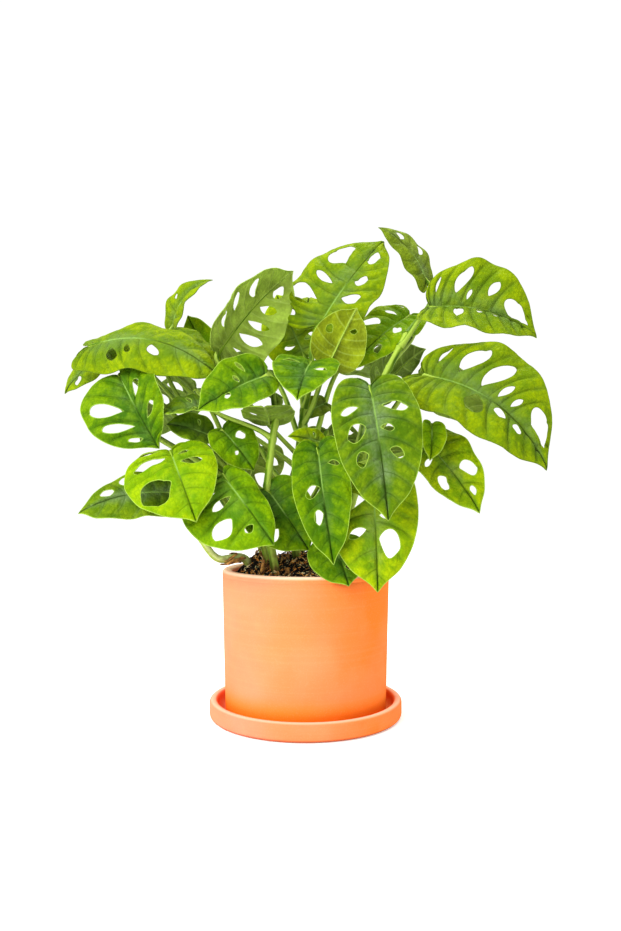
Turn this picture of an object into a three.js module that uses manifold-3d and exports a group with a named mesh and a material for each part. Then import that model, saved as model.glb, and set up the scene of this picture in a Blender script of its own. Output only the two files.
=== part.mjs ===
// A swiss cheese vine, monstera adansonii, growing in a terracotta pot that stands on its saucer.
// Millimetres, +Z up, -Y is the front. The origin is the middle of the saucer's flat underside.
import * as THREE from 'three';
import { mergeVertices } from 'three/addons/utils/BufferGeometryUtils.js';
import Module from 'manifold-3d';

const wasm = await Module();
wasm.setup();

// ---------------------------------------------------------------- driving dimensions

const SEAT_GAP = 0.3; // clearance where one piece rests on or in another
const GRID = 0.01; // corners are set to whole steps of this
const SAME = 0.001; // corners closer than this are one corner
const POTTERY_SIDES = 36;

const SAUCER = { radius: 86, height: 16, wall: 7.2, floor: 6.5, footEdge: 4, lipEdge: 1.6, innerEdge: 2 };
const POT = {
  rimRadius: 75,
  footRadius: 72,
  top: 131,
  wall: 8.4,
  floor: 9,
  drainRadius: 9,
  lipEdge: 3,
  footEdge: 2,
};
const SOIL = { sides: 24, rings: 4, edge: 123, mound: 18, lump: 2.4, slack: 0.6, seed: 11 };

const VINE = { footRadius: 4.4, endRadius: 2.8, sides: 6, steps: 9 };
const STALK = {
  footRadius: 2,
  neckRadius: 1.4,
  endRadius: 0.7,
  sides: 5,
  steps: 5,
  intoBlade: 0.1, // how far it runs on under the midrib, in shares of the blade's length
  bow: 0.35, // the pull of both its ends, in shares of the way between them
  spread: 0.6, // how much of that pull at the foot is outwards, and as much again upwards
  rise: 0.7, // how steeply it arrives at the blade
};

// A blade's outline, in shares of its length and of its half width, is followed by q from 0 at the stalk to 1
// at the tip. Its side veins are followed by r from 0 at the midrib to 1 at the margin.
const BLADE = {
  thickness: 0.8,
  lobe: 0.7, // how far the two lobes reach back beside the stalk
  fullness: 0.85, // below 1 the widest place moves towards the stalk
  roundness: 0.65,
  dripTip: 0.45, // how much the margin draws in before the tip
  dripPower: 10, // the higher, the nearer to the tip it does so
  veinStart: 2, // above 1 the side veins leave the midrib behind the place where they reach the margin
  veinBow: 0.04,
  waves: 2.5, // waves of the margin along the blade
  waveHeight: 0.03,
  wavePower: 3, // the higher, the nearer to the margin the waves stay
  holeCorners: 5,
};

// ---------------------------------------------------------------- vines and leaves

// Each vine is the points that its axis runs through, from its foot in the soil to its growing end.
const VINES = {
  vine_1: [[-26, -20, 112], [-40, -26, 165], [-56, -28, 205], [-66, -28, 238]],
  vine_2: [[-22, -38, 112], [-33, -44, 180], [-29, -44, 240], [-22, -40, 282]],
  vine_3: [[-4, -14, 112], [-12, -22, 190], [-5, -24, 245], [2, -18, 296]],
  vine_4: [[24, -8, 112], [32, -14, 190], [50, -20, 250], [68, -22, 298], [92, -10, 344]],
  vine_5: [[-2, 28, 112], [-6, 40, 180], [2, 48, 250]],
  vine_6: [[-44, -8, 112], [-54, -26, 142], [-76, -36, 143], [-92, -38, 163]],
  vine_7: [[28, 22, 112], [42, 34, 180], [54, 42, 238]],
  vine_8: [[-32, 22, 112], [-48, 34, 170], [-60, 40, 220]],
};

// One row for each leaf. Its stalk leaves the vine at a share of the vine's length. base and tip are the ends
// of the midrib, face is the way the upper side looks and width is the whole blade's. In degrees, arch bends
// the midrib down towards both ends, sweep bends it to its left, fold lifts both halves from the midrib and
// curl lifts them further towards the margin. skew is the share by which the left half is wider than the mean,
// and neck the way the stalk arrives, where it isn't the usual one. left and right hold the holes between the
// side veins, from the stalk to the tip: - is a place with none, and three digits are how far out the hole's
// middle lies, its length and its width, in tenths of the vein's length and of the place's width.
const LEAVES = [
  // upper right
  { vine: 4, at: 0.93, base: [113, -10, 365], tip: [204, -25, 336], face: [0, -0.88, 0.47], width: 80,
    arch: 30, sweep: 35, fold: 26, curl: -10, left: '554 665 564 665 474', right: '- 454 443 553 -' },
  { vine: 4, at: 0.66, base: [102, -45, 297], tip: [197, -75, 217], face: [0.15, -0.92, 0.33], width: 86,
    arch: 45, sweep: 45, fold: 14, curl: -14, left: '564 565 675 474 675', right: '- 554 665 443 563' },
  { vine: 4, at: 0.99, base: [108, 22, 397], tip: [66, 14, 448], face: [0.5, -0.75, 0.4], width: 42,
    arch: 30, sweep: -45, fold: -10, left: '- 565 - 564', right: '- 564 565 -' },
  { vine: 4, at: 0.84, base: [98, 26, 366], tip: [38, -4, 308], face: [-0.2, -0.8, 0.6], width: 54,
    arch: 35, fold: 8, curl: -12, left: '- 453 555 -', right: '553 565 676 454' },
  // middle top
  { vine: 3, at: 0.99, base: [13, -5, 350], tip: [75, 25, 436], face: [-0.3, -0.85, 0.4], width: 84,
    arch: 25, fold: 6, curl: -16, left: '- 577 464 676 564', right: '- 565 576 665 454' },
  { vine: 3, at: 0.94, base: [-1, 28, 328], tip: [-28, 34, 388], face: [-0.3, -0.8, 0.4], width: 56,
    arch: 20, fold: 8, left: '564 574 454 -', right: '- 565 454 -' },
  { vine: 3, at: 0.8, base: [21, -32, 313], tip: [45, -26, 362], face: [0.1, 0.8, 0.5], width: 50,
    arch: 30, fold: -10, left: '- 463 554 -', right: '- 565 575 -' },
  // front right
  { vine: 4, at: 0.55, base: [52, -85, 278], tip: [64, -108, 178], face: [0, -0.94, 0.3], width: 70,
    arch: 40, fold: 12, curl: -18, left: '- 474 575 463 -', right: '- 554 576 443 -' },
  { vine: 4, at: 0.36, base: [57, -66, 217], tip: [58, -92, 121], face: [0, -0.95, 0.25], width: 76,
    arch: 30, fold: 6, curl: -10, left: '- 453 - 677 -', right: '- - 585 454 -' },
  { vine: 4, at: 0.44, base: [100, -50, 244], tip: [142, -75, 183], face: [0.1, -0.9, 0.4], width: 54,
    arch: 35, fold: 10, left: '- 565 677 454', right: '- 454 576 -' },
  { vine: 4, at: 0.6, base: [104, -68, 256], tip: [101, -78, 226], face: [0.2, -0.9, 0.3], width: 24,
    neck: [0.3, -0.8, 0.1], arch: 30, fold: 25, left: '- - -', right: '- - -' },
  // left
  { vine: 1, at: 0.78, base: [-190, -18, 325], tip: [-71, -45, 296], face: [0, -0.85, 0.5], width: 62,
    neck: [-0.7, -0.4, 0.5], arch: 50, sweep: 45, fold: -22, curl: -8, left: '- 564 565 564 454',
    right: '554 565 576 564 -' },
  { vine: 1, at: 0.85, base: [-172, 16, 338], tip: [-222, 8, 290], face: [-0.4, -0.8, 0.5], width: 42,
    arch: 40, fold: -8, left: '- 564 454 -', right: '- 564 564 -' },
  { vine: 1, at: 0.7, base: [-162, -22, 302], tip: [-124, -50, 238], face: [-0.3, -0.9, 0.25], width: 72,
    skew: -0.2, arch: 25, fold: 12, curl: -12, left: '553 464 576 454 -', right: '- 677 585 564 -' },
  { vine: 5, at: 0.76, base: [-126, 20, 350], tip: [-88, 24, 393], face: [-0.6, -0.65, 0.4], width: 34,
    arch: 80, fold: 12, left: '- 563 -', right: '- 564 -' },
  { vine: 5, at: 0.84, base: [-88, 38, 326], tip: [-113, 34, 368], face: [-0.5, -0.8, 0.4], width: 34,
    arch: 30, fold: 10, left: '- 564 -', right: '- - -' },
  { vine: 1, at: 0.91, base: [-120, -4, 344], tip: [-83, -12, 305], face: [0.2, -0.75, 0.6], width: 44,
    arch: 35, fold: -10, left: '- 564 564 453', right: '- 564 - -' },
  { vine: 2, at: 0.78, base: [-88, -36, 275], tip: [-124, -46, 266], face: [0, -0.45, 0.9], width: 40,
    arch: 20, fold: 10, left: '- 564 -', right: '- 564 -' },
  // middle
  { vine: 2, at: 0.98, base: [-79, -20, 324], tip: [-12, 16, 403], face: [-0.5, 0.8, 0.35], width: 72,
    arch: 20, sweep: -10, fold: -30, left: '- 677 585 676 454', right: '- 564 565 574 -' },
  { vine: 2, at: 0.92, base: [-34, -50, 299], tip: [-90, -62, 268], face: [0, -0.85, 0.5], width: 54,
    arch: 30, fold: 14, left: '- 565 564 -', right: '- 574 564 -' },
  { vine: 2, at: 0.86, base: [-31, -38, 258], tip: [-34, -84, 269], face: [0, 0.3, 1], width: 46,
    arch: 30, fold: 10, left: '- 564 -', right: '- 564 -' },
  { vine: 3, at: 0.88, base: [4, -36, 312], tip: [-7, -80, 275], face: [0, -0.6, 0.8], width: 58,
    arch: 40, fold: 12, left: '- 565 564 -', right: '- 564 564 -' },
  { vine: 5, at: 0.44, base: [18, -4, 280], tip: [-6, -12, 266], face: [0, -0.8, 0.5], width: 24,
    arch: 30, fold: 12, left: '- - -', right: '- - -' },
  // low front
  { vine: 3, at: 0.62, base: [14, -50, 242], tip: [-15, -60, 247], face: [0, -0.85, 0.5], width: 20,
    arch: 30, fold: 20, left: '- - -', right: '- 453 -' },
  { vine: 3, at: 0.55, base: [10, -72, 236], tip: [22, -96, 143], face: [-0.15, -0.95, 0.2], width: 48,
    arch: 30, fold: 14, curl: -8, left: '- 564 564 453 -', right: '- 443 - 454 -' },
  { vine: 2, at: 0.55, base: [-32, -46, 202], tip: [1, -54, 156], face: [-0.1, -0.85, 0.4], width: 56,
    arch: 30, fold: 12, left: '- 454 - -', right: '- 574 465 -' },
  { vine: 1, at: 0.34, base: [-68, -68, 214], tip: [-25, -86, 158], face: [0.1, -0.9, 0.35], width: 62,
    skew: -0.35, arch: 20, fold: -8, left: '- - 564 564 -', right: '- - 677 354 -' },
  { vine: 3, at: 0.4, base: [22, -56, 160], tip: [35, -76, 124], face: [0, -0.8, 0.5], width: 50,
    arch: 40, fold: -6, left: '- - 563 -', right: '- 453 - -' },
  { vine: 1, at: 0.46, base: [-111, -50, 229], tip: [-85, -96, 178], face: [-0.1, -0.8, 0.6], width: 70,
    neck: [-0.5, -0.8, 0.2], arch: 40, fold: 4, curl: -12, left: '- 564 453 -', right: '455 565 679 -' },
  { vine: 6, at: 0.97, base: [-111, -42, 192], tip: [-193, -48, 181], face: [-0.1, -0.85, 0.5], width: 46,
    arch: 30, fold: -8, left: '- 564 565 -', right: '- 565 564 -' },
  { vine: 1, at: 0.99, base: [-85, -27, 250], tip: [-122, -32, 259], face: [0, -0.85, 0.5], width: 30,
    arch: 40, fold: 14, left: '- 564 -', right: '- 453 -' },
  { vine: 2, at: 0.48, base: [-72, -36, 254], tip: [-44, -44, 218], face: [0.2, -0.9, 0.4], width: 40,
    arch: 30, fold: 8, left: '- 575 564 -', right: '- 564 564 -' },
  { vine: 1, at: 0.4, base: [-62, -10, 227], tip: [-90, -14, 200], face: [-0.3, -0.8, 0.4], width: 28,
    arch: 30, fold: 10, left: '- - -', right: '- 453 -' },
  // back
  { vine: 7, at: 0.86, base: [70, 34, 294], tip: [116, 44, 338], face: [0.2, 0.5, 0.8], width: 56,
    arch: 35, fold: 8, left: '- 565 564 -', right: '- 564 565 -' },
  { vine: 5, at: 0.88, base: [40, 80, 330], tip: [92, 128, 318], face: [0.2, 0.6, 0.8], width: 70,
    arch: 50, fold: 8, left: '- 565 576 564 -', right: '- 565 575 564 -' },
  { vine: 5, at: 0.92, base: [-40, 84, 322], tip: [-104, 118, 300], face: [-0.3, 0.6, 0.8], width: 72,
    arch: 50, fold: 8, left: '- 565 576 564 -', right: '- 565 575 564 -' },
  { vine: 5, at: 0.99, base: [-4, 78, 350], tip: [4, 132, 408], face: [0, -0.5, 0.8], width: 64, arch: 35,
    fold: 8, left: '- 565 576 -', right: '- 576 565 -' },
  { vine: 5, at: 0.62, base: [22, 98, 262], tip: [40, 128, 182], face: [0.1, 0.9, 0.35], width: 66,
    arch: 35, fold: 8, curl: -10, left: '- 565 576 564 -', right: '- 576 565 - -' },
  { vine: 5, at: 0.54, base: [-46, 92, 244], tip: [-72, 120, 168], face: [-0.2, 0.9, 0.35], width: 62,
    arch: 35, fold: 8, curl: -10, left: '- 576 565 -', right: '- 565 576 -' },
  { vine: 7, at: 0.97, base: [112, 58, 312], tip: [188, 88, 262], face: [0.4, 0.7, 0.6], width: 66,
    arch: 45, fold: 8, curl: -10, left: '- 565 576 564 -', right: '- 576 565 564 -' },
  { vine: 7, at: 0.62, base: [72, 72, 256], tip: [100, 104, 186], face: [0.3, 0.85, 0.4], width: 56,
    arch: 35, fold: 8, left: '- 565 575 -', right: '- 576 565 -' },
  { vine: 8, at: 0.97, base: [-108, 58, 300], tip: [-168, 84, 250], face: [-0.4, 0.7, 0.6], width: 60,
    arch: 40, fold: 8, left: '- 565 576 -', right: '- 576 565 -' },
  { vine: 8, at: 0.66, base: [-92, 62, 232], tip: [-136, 88, 182], face: [-0.3, 0.85, 0.4], width: 52,
    arch: 35, fold: 8, left: '- 564 575 -', right: '- 575 564 -' },
];

// ---------------------------------------------------------------- solids

const radians = THREE.MathUtils.degToRad;
const point = (xyz) => new THREE.Vector3(...xyz);

function solidFrom(vertices, triangles) {
  const mesh = new wasm.Mesh({
    numProp: 3,
    vertProperties: new Float32Array(vertices),
    triVerts: new Uint32Array(triangles),
  });
  return new wasm.Manifold(mesh);
}

function solidFromGeometry(geometry) {
  geometry.deleteAttribute('normal');
  geometry.deleteAttribute('uv');
  const merged = mergeVertices(geometry, SAME);
  return solidFrom(merged.getAttribute('position').array, merged.getIndex().array);
}

// Corners are set to a fine grid, and triangles that this closes to a line are dropped.
function meshFrom(name, solid, material) {
  const { vertProperties, triVerts } = solid.getMesh();
  const places = vertProperties.map((value) => Math.round(value / GRID) * GRID);
  const loose = new THREE.BufferGeometry();
  loose.setAttribute('position', new THREE.BufferAttribute(places, 3));
  loose.setIndex(new THREE.BufferAttribute(triVerts, 1));
  const geometry = mergeVertices(loose, SAME);
  const corners = geometry.getIndex().array;
  const kept = [];
  for (let first = 0; first < corners.length; first += 3) {
    const triangle = [...corners.slice(first, first + 3)];
    if (new Set(triangle).size === 3) {
      kept.push(...triangle);
    }
  }
  geometry.setIndex(kept);
  geometry.computeVertexNormals();
  const mesh = new THREE.Mesh(geometry, material);
  mesh.name = name;
  return mesh;
}

// A round tube along a curve, tapering as radiusAt says, with a flat cap on each end.
function tube(curve, radiusAt, sides, steps) {
  const frames = curve.computeFrenetFrames(steps, false);
  const vertices = [];
  const triangles = [];
  for (let step = 0; step <= steps; step += 1) {
    const centre = curve.getPointAt(step / steps);
    for (let side = 0; side < sides; side += 1) {
      const turn = (side / sides) * 2 * Math.PI;
      const radius = radiusAt(step / steps);
      const corner = centre.clone();
      corner.addScaledVector(frames.normals[step], radius * Math.cos(turn));
      corner.addScaledVector(frames.binormals[step], radius * Math.sin(turn));
      vertices.push(corner.x, corner.y, corner.z);
    }
  }
  for (let step = 0; step < steps; step += 1) {
    for (let side = 0; side < sides; side += 1) {
      const a = step * sides + side;
      const b = step * sides + ((side + 1) % sides);
      triangles.push(a, b, b + sides, a, b + sides, a + sides);
    }
  }
  const last = steps * sides;
  for (let side = 1; side < sides - 1; side += 1) {
    triangles.push(0, side + 1, side);
    triangles.push(last, last + side, last + side + 1);
  }
  return solidFrom(vertices, triangles);
}

// ---------------------------------------------------------------- pot, saucer and soil

// A ring or dish turned round the upright axis from a closed profile of [radius, height] points.
function turned(profile, sides) {
  const outline = profile.map(([radius, height]) => new THREE.Vector2(radius, height));
  const geometry = new THREE.LatheGeometry(outline, sides);
  geometry.rotateX(Math.PI / 2);
  return solidFromGeometry(geometry);
}

// Three points that round a corner off: before it, on the arc, and past it.
function rounded(corner, before, after) {
  const [x, y] = corner;
  const start = [x + before[0], y + before[1]];
  const end = [x + after[0], y + after[1]];
  const share = 1 - Math.SQRT1_2;
  const middle = [x + (before[0] + after[0]) * share, y + (before[1] + after[1]) * share];
  return [start, middle, end];
}

function saucerSolid() {
  const { radius, height, wall, floor, footEdge, lipEdge, innerEdge } = SAUCER;
  const inside = radius - wall;
  const profile = [
    [0, 0],
    ...rounded([radius, 0], [-footEdge, 0], [0, footEdge]),
    ...rounded([radius, height], [0, -lipEdge], [-lipEdge, 0]),
    ...rounded([inside, height], [lipEdge, 0], [0, -lipEdge]),
    ...rounded([inside, floor], [0, innerEdge], [-innerEdge, 0]),
    [0, floor],
  ];
  return turned(profile, POTTERY_SIDES);
}

const potFoot = SAUCER.floor + SEAT_GAP;
const potFloor = potFoot + POT.floor;
const potTaper = (POT.rimRadius - POT.footRadius) / (POT.top - potFoot);
const potInside = (height) => POT.footRadius - POT.wall + potTaper * (height - potFoot);

function potSolid() {
  const { rimRadius, footRadius, top, drainRadius, lipEdge, footEdge } = POT;
  const profile = [
    [drainRadius, potFoot],
    ...rounded([footRadius, potFoot], [-footEdge, 0], [0, footEdge]),
    ...rounded([rimRadius, top], [0, -lipEdge], [-lipEdge, 0]),
    ...rounded([potInside(top), top], [lipEdge, 0], [0, -lipEdge]),
    [potInside(potFloor), potFloor],
    [drainRadius, potFloor],
    [drainRadius, potFoot],
  ];
  return turned(profile, POTTERY_SIDES);
}

// A repeatable maker of random numbers between 0 and 1, after Park and Miller.
function randomFrom(seed) {
  const factor = 16807;
  const prime = 2147483647;
  let state = seed;
  return () => {
    state = (state * factor) % prime;
    return state / prime;
  };
}

function soilSolid() {
  const { sides, rings, edge, mound, lump, slack, seed } = SOIL;
  const random = randomFrom(seed);
  const bottom = potFloor + SEAT_GAP;
  const edgeRadius = potInside(edge) - slack;
  const vertices = [0, 0, bottom];
  const ring = (radius, heightAt) => {
    for (let side = 0; side < sides; side += 1) {
      const turn = (side / sides) * 2 * Math.PI;
      vertices.push(radius * Math.cos(turn), radius * Math.sin(turn), heightAt());
    }
  };
  ring(potInside(bottom) - slack, () => bottom);
  ring(edgeRadius, () => edge);
  for (let inner = 1; inner < rings; inner += 1) {
    const share = 1 - inner / rings;
    const rise = mound * (1 - share * share);
    ring(edgeRadius * share, () => edge + rise + (2 * random() - 1) * lump);
  }
  vertices.push(0, 0, edge + mound);
  const triangles = [];
  for (let side = 0; side < sides; side += 1) {
    const next = (side + 1) % sides;
    triangles.push(0, 1 + next, 1 + side);
    for (let level = 0; level < rings; level += 1) {
      const low = 1 + level * sides;
      const high = low + sides;
      triangles.push(low + side, low + next, high + next, low + side, high + next, high + side);
    }
    const last = 1 + rings * sides;
    triangles.push(last + side, last + next, last + sides);
  }
  return solidFrom(vertices, triangles);
}

// ---------------------------------------------------------------- vines

const vineCurve = (name) => new THREE.CatmullRomCurve3(VINES[name].map(point));

// extra widens the vine and lengthens both its ends, which gives the room that it takes up in its neighbours.
function vineSolid(name, extra = 0) {
  const curve = vineCurve(name);
  const { points } = curve;
  const foot = points[0];
  const end = points.at(-1);
  foot.z -= extra;
  end.addScaledVector(end.clone().sub(points.at(-2)).normalize(), extra);
  const radiusAt = (share) => THREE.MathUtils.lerp(VINE.footRadius, VINE.endRadius, share) + extra;
  return tube(curve, radiusAt, VINE.sides, VINE.steps);
}

// ---------------------------------------------------------------- leaves

// The directions that a blade is laid out in: along its midrib, up from its upper side and to its left.
function bladeAxes(leaf) {
  const base = point(leaf.base);
  const along = point(leaf.tip).sub(base);
  const length = along.length();
  along.normalize();
  const up = point(leaf.face);
  up.addScaledVector(along, -up.dot(along)).normalize();
  const left = up.clone().cross(along);
  return { base, along, up, left, length };
}

// The blade laid flat: x along the midrib in shares of its length, y out from it in shares of half its width.
function marginAt(q) {
  const reach = q - BLADE.lobe * Math.sqrt(q) * (1 - q) ** 2;
  const swell = Math.max(Math.sin(Math.PI * q ** BLADE.fullness), 0) ** BLADE.roundness;
  return [reach, swell * (1 - BLADE.dripTip * q ** BLADE.dripPower)];
}

function flatAt(q, r) {
  const [reach, out] = marginAt(q);
  const start = q ** BLADE.veinStart;
  const bow = BLADE.veinBow * 4 * r * (1 - r) * out;
  return [start + (reach - start) * r - bow, out * r];
}

// Where a place on the flat blade lies on the bent one. side is 1 on the left and -1 on the right.
function bentAt(leaf, axes, x, y) {
  const { arch = 0, sweep = 0, fold = 0, curl = 0, skew = 0, width } = leaf;
  const { base, along, up, left, length } = axes;
  const side = Math.sign(y);
  const half = (width / 2) * (1 + skew * side);
  const away = Math.abs(y);
  const bulge = (length * x * (1 - x)) / 2;
  const turn = radians(fold) + (radians(curl) * away) / 2;
  const ripple = Math.sin(2 * Math.PI * BLADE.waves * x + side + length);
  const wave = ripple * BLADE.waveHeight * length * away ** BLADE.wavePower;
  const spot = base.clone();
  spot.addScaledVector(along, length * x);
  spot.addScaledVector(up, bulge * radians(arch) + half * away * Math.sin(turn) + wave);
  spot.addScaledVector(left, bulge * radians(sweep) + half * side * away * Math.cos(turn));
  return spot;
}

function faceAt(leaf, axes, x, y) {
  const small = 0.01;
  const ahead = bentAt(leaf, axes, x + small, y).sub(bentAt(leaf, axes, x - small, y));
  const across = bentAt(leaf, axes, x, y + small).sub(bentAt(leaf, axes, x, y - small));
  return ahead.cross(across).normalize();
}

// The corners of one hole, as [q, r], in the band from q = low to q = high.
function holeCorners(code, low, high) {
  const [middle, long, wide] = [...code].map((digit) => Number(digit) / 10);
  const centre = (low + high) / 2;
  const corners = [];
  for (let corner = 0; corner < BLADE.holeCorners; corner += 1) {
    const turn = (corner / BLADE.holeCorners) * 2 * Math.PI;
    const q = centre + ((high - low) / 2) * wide * Math.sin(turn);
    const r = middle + (long / 2) * Math.cos(turn);
    corners.push([q, r]);
  }
  return corners;
}

// The margin of one band between two side veins, followed from the midrib round and back, as [q, r].
function bandCorners(low, high) {
  const corners = low > 0 ? [[low, 0], [low, 0.5], [low, 1]] : [[0, 0]];
  corners.push([(low + high) / 2, 1]);
  return high < 1 ? [...corners, [high, 1], [high, 0.5], [high, 0]] : [...corners, [1, 0]];
}

// A thin sheet with holes, split into the same triangles on its upper and its under side.
function bladeSolid(leaf, axes) {
  const places = new Map();
  const tops = [];
  const bottoms = [];
  const indexOf = ([q, r], side) => {
    const key = r === 0 ? `${q}` : `${q},${r},${side}`;
    if (!places.has(key)) {
      const [x, out] = flatAt(q, r);
      const y = out * side;
      const spot = bentAt(leaf, axes, x, y);
      const offset = faceAt(leaf, axes, x, y).multiplyScalar(BLADE.thickness / 2);
      places.set(key, tops.length);
      tops.push(spot.clone().add(offset));
      bottoms.push(spot.clone().sub(offset));
    }
    return places.get(key);
  };

  const faces = [];
  for (const side of [1, -1]) {
    const bands = leaf[side === 1 ? 'left' : 'right'].split(' ');
    bands.forEach((code, band) => {
      const low = band / bands.length;
      const high = (band + 1) / bands.length;
      const outline = bandCorners(low, high);
      const holes = code === '-' ? [] : [holeCorners(code, low, high)];
      const flat = (list) => list.map(([q, r]) => new THREE.Vector2(...flatAt(q, r)));
      const all = [outline, ...holes].flat();
      const places2d = flat(all);
      for (const [a, b, c] of THREE.ShapeUtils.triangulateShape(flat(outline), holes.map(flat))) {
        const area = THREE.ShapeUtils.area([places2d[a], places2d[b], places2d[c]]);
        const face = [a, b, c].map((index) => indexOf(all[index], side));
        faces.push(area * side > 0 ? face : face.reverse());
      }
    });
  }

  const count = tops.length;
  const triangles = [];
  const edges = new Set();
  for (const [a, b, c] of faces) {
    triangles.push(a, b, c, count + c, count + b, count + a);
    edges.add(`${a} ${b}`).add(`${b} ${c}`).add(`${c} ${a}`);
  }
  for (const edge of edges) {
    const [a, b] = edge.split(' ').map(Number);
    if (!edges.has(`${b} ${a}`)) {
      triangles.push(b, a, count + a, b, count + a, count + b);
    }
  }
  const vertices = [...tops, ...bottoms].flatMap((spot) => spot.toArray());
  return solidFrom(vertices, triangles);
}

// The stalk rises from the vine, bows over and runs a little way into the blade along its midrib.
function stalkSolid(leaf, axes) {
  const foot = vineCurve(`vine_${leaf.vine}`).getPointAt(leaf.at);
  const neck = axes.base;
  const reach = foot.distanceTo(neck);
  const outwards = neck.clone().sub(foot).setZ(0).normalize();
  const start = foot.clone().addScaledVector(outwards, reach * STALK.bow * STALK.spread);
  start.z += reach * STALK.bow * STALK.spread;
  const arrive = leaf.neck ? point(leaf.neck) : axes.along.clone().setZ(STALK.rise);
  arrive.normalize();
  const before = neck.clone().addScaledVector(arrive, -reach * STALK.bow);
  const way = new THREE.CurvePath();
  way.add(new THREE.CubicBezierCurve3(foot, start, before, neck));
  way.add(new THREE.LineCurve3(neck, bentAt(leaf, axes, STALK.intoBlade, 0)));
  const shares = [];
  for (let step = 0; step <= STALK.steps; step += 1) {
    shares.push(way.curves[0].getPoint(step / STALK.steps));
  }
  shares.push(way.curves[1].getPoint(1));
  const path = new THREE.CatmullRomCurve3(shares);
  const last = reach / (reach + STALK.intoBlade * axes.length);
  const radiusAt = (share) => (share < last
    ? THREE.MathUtils.lerp(STALK.footRadius, STALK.neckRadius, share / last)
    : THREE.MathUtils.lerp(STALK.neckRadius, STALK.endRadius, (share - last) / (1 - last)));
  return tube(path, radiusAt, STALK.sides, STALK.steps + 1);
}

function leafSolid(leaf) {
  const axes = bladeAxes(leaf);
  const whole = bladeSolid(leaf, axes).add(stalkSolid(leaf, axes));
  const bodies = whole.subtract(vineSolid(`vine_${leaf.vine}`, SEAT_GAP)).decompose();
  return bodies.reduce((largest, body) => (body.volume() > largest.volume() ? body : largest));
}

// ---------------------------------------------------------------- the plant in its pot

const terracotta = new THREE.MeshStandardMaterial({ color: 0xf0a070, roughness: 0.85, metalness: 0 });
const earth = new THREE.MeshStandardMaterial({ color: 0x4a2c18, roughness: 1, metalness: 0 });
const stemGreen = new THREE.MeshStandardMaterial({ color: 0x8fae5a, roughness: 0.5, metalness: 0 });
const leafGreen = new THREE.MeshStandardMaterial({ color: 0x5f8f1e, roughness: 0.45, metalness: 0 });

const plant = new THREE.Group();
plant.add(meshFrom('saucer', saucerSolid(), terracotta));
plant.add(meshFrom('pot', potSolid(), terracotta));

let soil = soilSolid();
for (const name of Object.keys(VINES)) {
  soil = soil.subtract(vineSolid(name, SEAT_GAP));
  plant.add(meshFrom(name, vineSolid(name), stemGreen));
}
plant.add(meshFrom('soil', soil, earth));

LEAVES.forEach((leaf, index) => {
  const name = `leaf_${String(index + 1).padStart(2, '0')}`;
  plant.add(meshFrom(name, leafSolid(leaf), leafGreen));
});

export default plant;
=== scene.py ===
"""A monstera adansonii in a terracotta pot on its saucer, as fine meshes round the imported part.

Lengths are in millimetres until a mesh is made. +Z is up and -Y is the front.
"""

import logging
import math
import random
from collections import Counter
from collections.abc import Callable
from dataclasses import dataclass
from enum import Enum

import bpy
import numpy as np
from mathutils import Euler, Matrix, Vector, noise


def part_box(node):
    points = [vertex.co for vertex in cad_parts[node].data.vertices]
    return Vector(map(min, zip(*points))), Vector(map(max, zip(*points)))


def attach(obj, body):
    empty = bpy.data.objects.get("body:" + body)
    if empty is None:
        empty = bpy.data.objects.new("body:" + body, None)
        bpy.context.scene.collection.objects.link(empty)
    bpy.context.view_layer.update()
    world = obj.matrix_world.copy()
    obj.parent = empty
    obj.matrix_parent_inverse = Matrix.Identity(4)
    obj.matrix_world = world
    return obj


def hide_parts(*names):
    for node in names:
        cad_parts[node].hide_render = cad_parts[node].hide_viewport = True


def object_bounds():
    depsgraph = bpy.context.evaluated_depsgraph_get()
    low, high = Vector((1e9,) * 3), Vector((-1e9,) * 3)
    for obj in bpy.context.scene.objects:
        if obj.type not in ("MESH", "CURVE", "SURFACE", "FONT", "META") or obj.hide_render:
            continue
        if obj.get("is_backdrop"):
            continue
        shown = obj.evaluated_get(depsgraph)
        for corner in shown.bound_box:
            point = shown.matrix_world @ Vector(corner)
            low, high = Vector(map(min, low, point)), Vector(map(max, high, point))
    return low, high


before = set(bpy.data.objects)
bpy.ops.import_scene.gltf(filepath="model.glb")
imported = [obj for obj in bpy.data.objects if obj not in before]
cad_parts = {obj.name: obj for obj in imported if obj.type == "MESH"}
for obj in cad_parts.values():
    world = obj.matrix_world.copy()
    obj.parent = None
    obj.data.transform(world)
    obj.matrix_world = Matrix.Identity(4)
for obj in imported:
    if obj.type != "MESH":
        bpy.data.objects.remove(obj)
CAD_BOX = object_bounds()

MM = 0.001
BODY = "root"
FAR_OFF = 99.0  # a distance in millimetres that stands for "nowhere near"
TINY = 1e-9
SPAN_STEPS = 60  # the fine steps between two points of a curve
NOISE_RANGE = (0.3, 0.7)  # the part of a noise that a grain spreads over 0 to 1

log = logging.getLogger("monstera")

Colour = tuple[float, float, float]
Point = tuple[float, float, float]
Pair = tuple[float, float]
Grain = tuple[float, float]  # a noise's lumps along a metre and its finer layers
Relief = tuple[float, float]  # a bump's strength and its height in metres
Range = tuple[float, ...]  # where a ramp starts and ends, and what it gives there, or else 0 and 1
Socket = bpy.types.NodeSocket


# ------------------------------------------------------------------ meshes and node trees


def unit(vector: np.ndarray) -> np.ndarray:
    """Returns the vector at a length of 1."""
    return vector / np.linalg.norm(vector)


def smooth_step(values: np.ndarray, low: float, high: float) -> np.ndarray:
    """Eases from 0 at low to 1 at high.

    Args:
        values: The numbers to ease.
        low: Where the result leaves 0.
        high: Where the result reaches 1.

    Returns:
        One number from 0 to 1 for each value.
    """
    share = np.clip((values - low) / (high - low), 0, 1)
    return share * share * (3 - 2 * share)


def hump(values: np.ndarray, size: float) -> np.ndarray:
    """Returns 1 where a value is 0, and less the further it is from that."""
    return np.exp(-((values / size) ** 2))


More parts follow.
